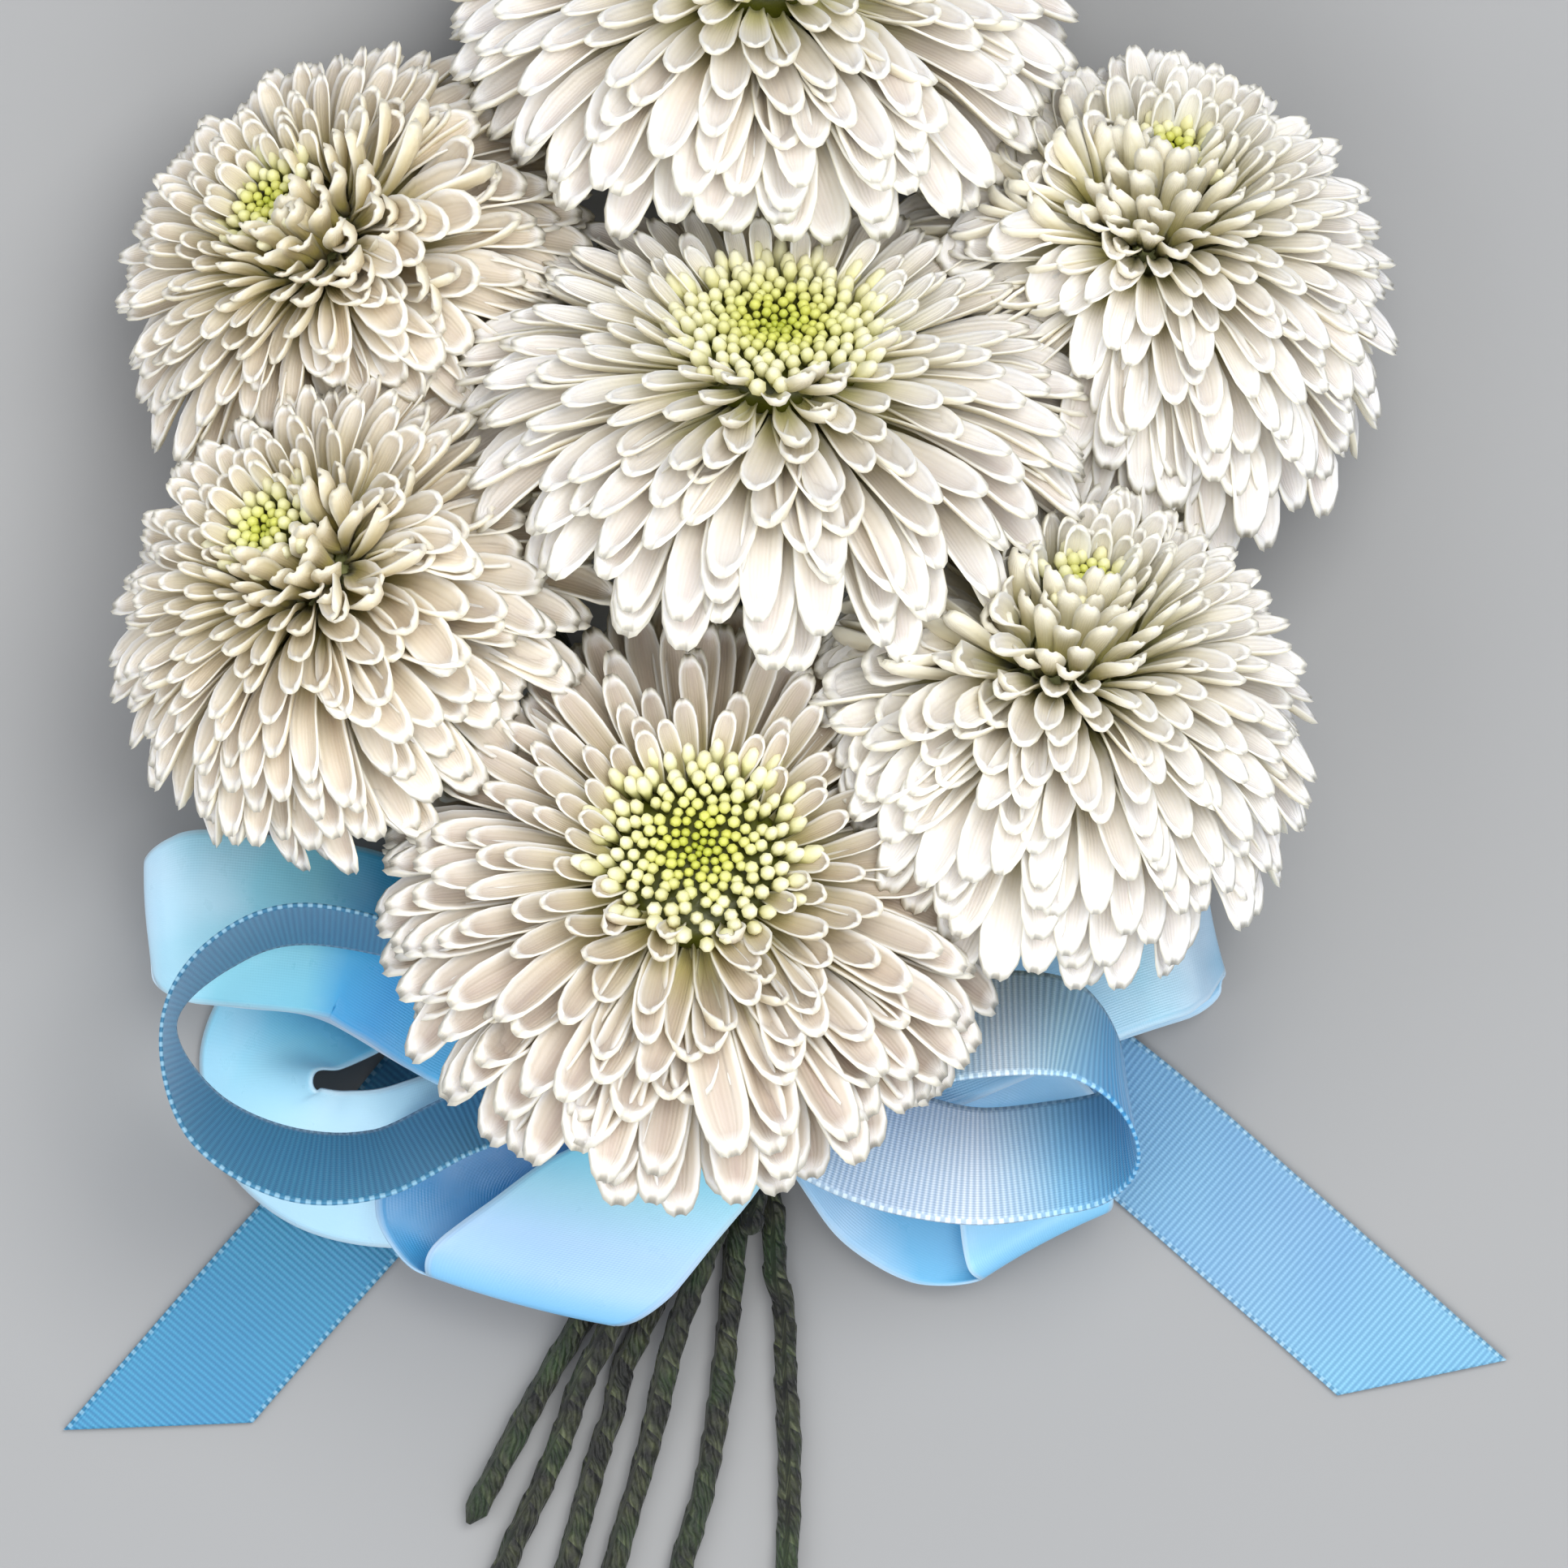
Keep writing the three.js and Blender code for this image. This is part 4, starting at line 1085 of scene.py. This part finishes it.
# ribbons
# The colours along each ribbon are a share of the length and a screen colour: the ribbon's own blue with
# painted sheen highlights and painted shade in its bends and folds. Stations are a centre, a direction across
# and a share of the full width. Fold is the station where a ribbon turns back, with its corners rounded.
left, right, foot = knot["left"], knot["right"], knot["foot"]
ribbons = {
    "ribbon_left_front_loop": {
        "coloursWithPaintedLight": (
            (0, 84, 156, 188), (0.3, 62, 136, 168), (0.5, 60, 134, 164), (0.75, 76, 154, 186),
            (1, 110, 184, 218),
        ),
        "ribbed": True,
        "held": "gathered",
        "stations": (
            (left, -33, 25.2, 0, 0.05, 1, 0.55), (-24.5, -27.5, 27, 0, 0.2, 1, 1),
            (-36, -20.6, 28, 0, 0.24, 1, 1), (-54, -16, 28, -0.02, 0.3, 1, 1),
            (-64.5, -19.5, 28, -0.12, 0.2, 1, 1), (-70.3, -27.5, 28, -0.07, 0, 1, 1),
            (-66.3, -37.7, 28, -0.18, -0.33, 1, 1), (-57, -43.2, 28, -0.05, -0.55, 1, 1),
            (-46.6, -43.4, 28, 0.06, -0.52, 1, 1), (-36, -38.6, 27.5, 0.08, -0.45, 1, 1),
            (-25, -36.4, 26.5, 0, -0.25, 1, 0.9), (left, -35.2, 25.2, 0, -0.05, 1, 0.55),
        ),
    },
    "ribbon_left_back_loop": {
        "fold": 6,
        "roundFold": 0.7,
        "coloursWithPaintedLight": (
            (0, 84, 196, 244), (0.2, 78, 190, 240), (0.25, 52, 170, 232), (0.3, 66, 184, 236),
            (0.34, 132, 216, 236), (0.42, 146, 218, 234), (0.5, 186, 226, 244), (0.6, 206, 236, 252),
            (0.8, 214, 232, 254), (1, 150, 214, 250),
        ),
        "held": "gathered",
        "stations": (
            (left, -34, 18, 0, -1, 0, 0.45), (-32, -26.8, 16.8, -0.5, -0.85, 0, 1),
            (-44, -20.2, 16, -0.45, -0.88, 0, 1), (-50.5, -17, 16, -0.15, -0.98, 0, 1),
            (-64.5, -15.4, 15.8, 0.04, -1, 0, 1), (-70.6, -15, 14.8, 0.08, -1, 0, 1),
            (-73, -14.8, 12.2, 0.08, -1, 0, 1), (-70.6, -15.1, 9.8, 0.08, -1, 0, 1),
            (-62, -15.8, 9, 0, -1, 0, 1), (-49.8, -17.8, 9.4, -0.15, -0.98, 0, 1),
            (-32, -26.8, 14.2, -0.5, -0.85, 0, 1), (left, -34, 16.2, 0, -1, 0, 0.45),
        ),
    },
    "ribbon_left_lower_loop": {
        "coloursWithPaintedLight": (
            (0, 110, 200, 244), (0.25, 186, 234, 250), (0.4, 196, 236, 250), (0.55, 140, 222, 248),
            (0.66, 90, 200, 246), (0.8, 120, 214, 248), (1, 110, 190, 234),
        ),
        "held": "gathered",
        "stations": (
            (left, -34, 13, 0, -1, 0, 0.45), (-26, -38.5, 8.8, -0.25, -0.95, 0, 0.9),
            (-37, -42.6, 7.2, -0.1, -0.98, -0.1, 1), (-46, -44.2, 7.2, 0, -0.92, -0.38, 1),
            (-53.5, -43, 7.6, -0.25, -0.8, -0.54, 1), (-59.2, -39, 8.2, -0.55, -0.45, -0.7, 1),
            (-60.6, -33.4, 8.2, -0.66, 0.05, -0.75, 1), (-57.8, -28.4, 6.5, -0.62, 0.5, -0.57, 1),
            (-52.3, -23.4, 5.1, -0.42, 0.83, -0.36, 1), (-45.2, -19.8, 5, -0.08, 0.95, -0.3, 1),
            (-36, -21.8, 5.4, 0.3, 0.93, -0.12, 0.95), (-26, -28, 7.6, 0.35, 0.93, 0, 0.85),
            (left, -34, 11.5, 0, 1, 0, 0.45),
        ),
    },
    "ribbon_centre_loop": {
        "fold": 4,
        "coloursWithPaintedLight": (
            (0, 92, 196, 226), (0.08, 130, 218, 238), (0.18, 172, 228, 242), (0.28, 180, 218, 246),
            (0.36, 164, 206, 244), (0.42, 132, 200, 240), (0.5, 70, 168, 220), (0.6, 60, 154, 208),
            (1, 60, 144, 202),
        ),
        "held": "gathered",
        "slantedFold": True,
        "stations": (
            (-8, foot, 19.6, 1, -0.05, 0, 0.5), (-13.2, -43.2, 18.6, 0.99, -0.12, 0, 1.15),
            (-21.4, -50.8, 17.8, 0.98, -0.19, 0, 1.32), (-27.2, -56.4, 16.6, 0.97, -0.24, 0, 1.4),
            (-30.2, -59.2, 14, 0.96, -0.26, 0, 1.45), (-31.8, -57, 11.4, 0.96, -0.26, 0, 1.45),
            (-34, -51.6, 10.6, 0.96, -0.28, 0, 1.36), (-34.6, -46, 10.8, 0.9, -0.42, 0, 1.15),
            (-30, -41, 12, 0.7, -0.71, 0, 0.8), (-21.5, -37, 13.6, 0.25, -0.97, 0, 0.6),
            (left, -34.5, 14.6, 0, -1, 0, 0.45),
        ),
    },
    "ribbon_right_front_loop": {
        "coloursWithPaintedLight": (
            (0, 70, 152, 204), (0.12, 96, 176, 220), (0.2, 170, 220, 244), (0.28, 236, 248, 253),
            (0.36, 190, 232, 250), (0.43, 70, 170, 222), (0.54, 62, 158, 206), (0.64, 160, 216, 240),
            (0.74, 242, 249, 254), (1, 206, 234, 248),
        ),
        "ribbed": True,
        "held": "gathered",
        "stations": (
            (right, -33.6, 26, 0, -0.95, 0.3, 0.55), (10.6, -29.7, 30, 0, -0.8, 0.6, 1),
            (20, -27.6, 32, 0, -0.75, 0.66, 1), (30, -27.4, 32, 0, -0.7, 0.7, 1),
            (35.4, -29.7, 31, 0.05, -0.66, 0.75, 1), (38.8, -34, 28, 0.1, -0.65, 0.76, 1),
            (39.5, -38.2, 24, 0.1, -0.7, 0.7, 1), (37, -41.4, 20.2, 0, -0.78, 0.62, 1),
            (31, -42.9, 18.8, 0, -0.8, 0.6, 1), (21.8, -43.8, 18.6, 0, -0.82, 0.57, 1),
            (12.5, -42, 19.4, -0.1, -0.86, 0.5, 1), (3.4, -39, 20.6, -0.1, -0.95, 0.3, 0.8),
            (right, -36, 21.8, 0, -1, 0, 0.45),
        ),
    },
    "ribbon_right_back_loop": {
        "fold": 6,
        "roundFold": 0.7,
        "coloursWithPaintedLight": (
            (0, 104, 176, 214), (0.3, 112, 184, 218), (0.4, 110, 206, 228), (0.47, 40, 128, 158),
            (0.53, 60, 168, 206), (0.6, 110, 204, 234), (1, 120, 190, 226),
        ),
        "held": "gathered",
        "stations": (
            (right, -34, 16.4, 0, -1, 0, 0.45), (12.5, -28.7, 13, 0.35, -0.93, 0, 1),
            (24.5, -24.5, 11.6, 0.35, -0.93, 0, 1), (34.8, -20, 10.8, 0.35, -0.93, 0, 1),
            (43.2, -17.1, 10.2, 0.25, -0.97, 0, 1), (47.4, -16.2, 9, 0.2, -0.98, 0, 1),
            (49.6, -16, 6.8, 0.2, -0.98, 0, 1), (47.4, -16.4, 4.6, 0.2, -0.98, 0, 1),
            (34.8, -20.4, 4.2, 0.35, -0.93, 0, 1), (20, -26, 7, 0.35, -0.93, 0, 1),
            (8.5, -30.6, 10.8, 0.25, -0.96, 0, 0.8), (right, -34, 13, 0, -1, 0, 0.45),
        ),
    },
    "ribbon_right_lower_loop": {
        "fold": 5,
        "coloursWithPaintedLight": (
            (0, 100, 180, 220), (0.4, 110, 188, 226), (0.46, 112, 190, 228), (0.5, 158, 220, 248),
            (0.75, 160, 222, 250), (1, 120, 196, 234),
        ),
        "held": "gathered",
        "slantedFold": True,
        "stations": (
            (right, -36, 11.4, 0, 1, 0, 0.45), (3.4, -38.4, 9, 0.25, 0.97, 0, 0.75),
            (11.6, -43.8, 6, 0.55, 0.83, 0, 1), (19.2, -49.2, 4.8, 0.72, 0.69, 0, 1.02),
            (26, -52.6, 4.8, 0.85, 0.53, 0, 1.04), (29.9, -53.2, 6.8, 0.88, 0.47, 0, 1.06),
            (29.6, -51.2, 8.9, 0.88, 0.47, 0, 1.04), (29.6, -46.6, 9.4, 0.94, 0.34, 0, 1),
            (28, -42, 9.5, 0.8, 0.6, 0, 1), (23.6, -38.8, 9.8, 0.4, 0.92, 0, 1),
            (16, -37, 10.8, 0.1, 1, 0, 0.95), (8, -36, 12.8, 0, 1, 0, 0.8),
            (right, -35, 14.7, 0, 1, 0, 0.45),
        ),
    },
    "ribbon_left_tail": {
        "coloursWithPaintedLight": (
            (0, 68, 148, 180), (0.6, 72, 156, 188), (1, 70, 154, 190),
        ),
        "ribbed": True,
        "held": "laid",
        "slant": -7.5,
        "stations": (
            (left, -34, 10, 0, -1, 0, 0.5), (-24, -30.2, 6.2, -0.1, -1, 0, 0.9),
            (-31, -29.6, 3.6, 0.3, -0.95, 0, 1), (-38, -34.4, 1.6, 0.77, -0.64, 0, 1),
            (-47.6, -46, 0.5, 0.77, -0.64, 0, 1), (-60, -60, 0.45, 0.77, -0.64, 0, 1),
            (-72.3, -74.2, 0.45, 0.77, -0.64, 0, 1),
        ),
    },
    "ribbon_right_tail": {
        "coloursWithPaintedLight": (
            (0, 104, 168, 202), (0.4, 122, 178, 208), (0.75, 140, 186, 212), (1, 130, 190, 216),
        ),
        "ribbed": True,
        "held": "laid",
        "slant": 6,
        "stations": (
            (right, -34, 10, 0, 1, 0, 0.5), (8, -31, 6, 0, 1, 0, 0.9), (18, -29.4, 2.6, 0.15, 0.99, 0, 1),
            (29, -31.6, 1.4, 0.45, 0.89, 0, 1), (39, -38.3, 0.5, 0.65, 0.76, 0, 1),
            (56, -53, 0.45, 0.65, 0.76, 0, 1), (73.7, -68.6, 0.45, 0.65, 0.76, 0, 1),
        ),
    },
}
clothPlan = {
    "satin": {"width": 20, "step": 0.9, "columns": 20, "thickness": 0.3, "crown": 0.5},
    "ribbed": {
        "width": 16, "step": ribbedFinish["pitch"] / 2, "columns": 18, "thickness": 0.4, "crown": 0.2,
    },
    "pleats": 1.5, "rib": 0.035, "sharpFold": 0.42, "foldLength": 8, "gatherLength": 16,
    "endLength": 16,
}


def buildRibbon(name, plan):
    slot, skin = ("ribbed", ribbedSkin) if plan.get("ribbed") else ("satin", satinSkin)
    cloth, columns = clothPlan[slot], clothPlan[slot]["columns"]
    stations = np.array(plan["stations"], float)
    length = strides(smoothCourse(stations[:, :3], 200)).sum()
    count = round(length / cloth["step"])
    course = smoothCourse(stations[:, :3], count)
    across = smoothCourse(stations[:, 3:6], count)
    share = smoothCourse(stations[:, 6:], count)[:, 0]
    forward = unit(np.gradient(course, axis=0))
    if not plan.get("slantedFold"):
        across = across - forward * (across * forward).sum(axis=1, keepdims=True)
    across = unit(across)
    face = unit(np.cross(forward, across))
    way = travelled(course)
    if "fold" in plan:
        fold = way[round(plan["fold"] / (len(stations) - 1) * count)]
        near = np.maximum(1 - np.abs(way - fold) / clothPlan["foldLength"], 0)
        share = share * np.sqrt(1 - plan.get("roundFold", clothPlan["sharpFold"]) * near**2)
    # the ribbon's colour with painted sheen highlights and painted shade, spread along its length
    places = [colourWithPaintedLight[0] for colourWithPaintedLight in plan["coloursWithPaintedLight"]]
    colours = np.array([paint(*colourWithPaintedLight[1:])[:3] for colourWithPaintedLight in plan["coloursWithPaintedLight"]])
    colourWithPaintedLight = np.stack([np.interp(way / way[-1], places, colours[:, part]) for part in range(3)], axis=1)
    turns = fullTurn * clothPlan["pleats"]
    points, coordinates, faces = [], [], []
    for row in range(count + 1):
        width = cloth["width"] * share[row]
        tight = min(share[row], 1)
        toEnd = way[-1] - way[row]
        toKnot = min(way[row], toEnd if plan["held"] == "gathered" else way[-1])
        byKnot = max(0, 1 - toKnot / clothPlan["gatherLength"])
        tuck = byKnot * math.sqrt(1 / tight - 1) * width / turns
        ending = max(0, 1 - toEnd / clothPlan["endLength"])
        for column in range(columns + 1):
            place = column / columns
            s = place - 0.5
            height = tuck * math.sin(turns * place) + cloth["crown"] * (1 - 4 * s * s) * tight
            if slot == "ribbed" and not ending and 0 < column < columns:
                height += clothPlan["rib"] * (1 if row % 2 else -1)
            slant = plan.get("slant", 0) * 2 * s * ending
            point = course[row] + across[row] * width * s + face[row] * height
            points.append(point + forward[row] * slant)
            coordinates.append((place, way[row] + slant))
    for row in range(count):
        for column in range(columns):
            a = row * (columns + 1) + column
            faces.append((a, a + 1, a + columns + 2, a + columns + 1))
    tones = np.repeat(colourWithPaintedLight, columns + 1, axis=0)
    piece = meshPiece(name.replace("ribbon_", "cloth_"), points, faces, skin, coordinates, tones)
    pick(piece)
    wall = piece.modifiers.new("wall", "SOLIDIFY")
    wall.thickness = cloth["thickness"] / 1000
    wall.offset = 0
    bpy.ops.object.modifier_apply(modifier="wall")
    for v in piece.data.vertices:
        v.co.z = max(v.co.z, clearance)
    settle(piece, slot, name)


knotPlan = {
    "around": 96, "columns": 14, "corner": 4, "inset": 0.3, "pleats": 3, "pleat": 0.06, "taper": 0.1,
    "ribs": 0.6,  # millimetres of rib pattern to a step round the knot
    "colour": (96, 166, 202),
}


def buildKnot():
    plan = knotPlan
    count, columns = plan["around"], plan["columns"]
    section = roundedSection(knot["foot"], knot["head"], knot["low"], knot["high"], plan["corner"], 8)
    outline = evenRound(section, count)
    middle = (outline.min(axis=0) + outline.max(axis=0)) / 2
    points, coordinates = [], []
    for column in range(columns + 1):
        share = column / columns
        x = mix(knot["left"] + plan["inset"], knot["right"] - plan["inset"], share)
        pleat = plan["pleat"] * math.cos(share * fullTurn * plan["pleats"])
        shrink = min(1 - pleat - plan["taper"] * abs(2 * share - 1) ** 6 - plan["pleat"], 1)
        for step in range(count):
            place = middle + (outline[step] - middle) * shrink
            points.append((x, place[0], place[1]))
            coordinates.append((share, step * plan["ribs"]))
    for x in (knot["left"] + 2 * plan["inset"], knot["right"] - 2 * plan["inset"]):
        points.append((x, middle[0], middle[1]))
        coordinates.append((0.5, 0))
    faces = closedTube(columns + 1, count, True)
    tones = [paint(*plan["colour"])[:3]] * len(points)
    piece = meshPiece("wrapped_knot", points, faces, ribbedSkin, coordinates, tones)
    faceOutward(piece)
    settle(piece, "ribbed", "bow_knot")


buildKnot()
for name, plan in ribbons.items():
    buildRibbon(name, plan)
print("ribbons built")

# floor, light and camera
stage = {
    "photoSide": 1932 * 0.093,  # millimetres that the picture spans
    "cameraHeight": 2.4,
    "cameraReach": 20,
    "sharpest": 0.02,
    "floorSize": 6,
    "floorGrey": paint(156, 156, 155),
    "floorRoughness": 0.8,
    "sky": (0.86, 0.9, 1.0, 1),
    "skyStrength": 0.64,
    # name, place in metres, size and power; each looks at the bunch
    "lights": (
        ("keyLight", (0.26, 0.26, 1.0), 0.7, 8.2),
        ("fillLight", (-0.6, -0.2, 0.8), 0.8, 3.2),
        ("footLight", (0.1, -0.7, 0.7), 0.6, 2.6),
    ),
}


def buildStage():
    bpy.ops.object.select_all(action="DESELECT")
    bpy.ops.mesh.primitive_plane_add(size=stage["floorSize"], location=(0, 0, 0))
    floor = bpy.context.active_object
    floor.name = "table_top"
    board = newMaterial("tableTop", Base_Color=stage["floorGrey"], Roughness=stage["floorRoughness"])
    floor.data.materials.append(board.material)
    target = Vector((0, 0, stage["sharpest"]))
    for name, place, size, power in stage["lights"]:
        bpy.ops.object.light_add(type="AREA", location=place)
        lamp = bpy.context.active_object
        lamp.name = name
        lamp.data.size = size
        lamp.data.energy = power
        lamp.rotation_euler = (target - Vector(place)).to_track_quat("-Z", "Y").to_euler()
    world = bpy.data.worlds.new("studio")
    world.use_nodes = True
    sky = world.node_tree.nodes["Background"].inputs
    sky["Color"].default_value = stage["sky"]
    sky["Strength"].default_value = stage["skyStrength"]
    middle = shift / 1000
    bpy.ops.object.camera_add(location=(middle[0], middle[1], stage["cameraHeight"]), rotation=(0, 0, 0))
    camera = bpy.context.active_object
    camera.name = "overhead"
    span = stage["photoSide"] / 1000
    camera.data.lens = camera.data.sensor_width * (stage["cameraHeight"] - stage["sharpest"]) / span
    camera.data.clip_end = stage["cameraReach"]
    scene = bpy.context.scene
    scene.world = world
    scene.camera = camera
    scene.view_settings.view_transform = "Standard"
    scene.view_settings.look = "None"


buildStage()
print("stage set")
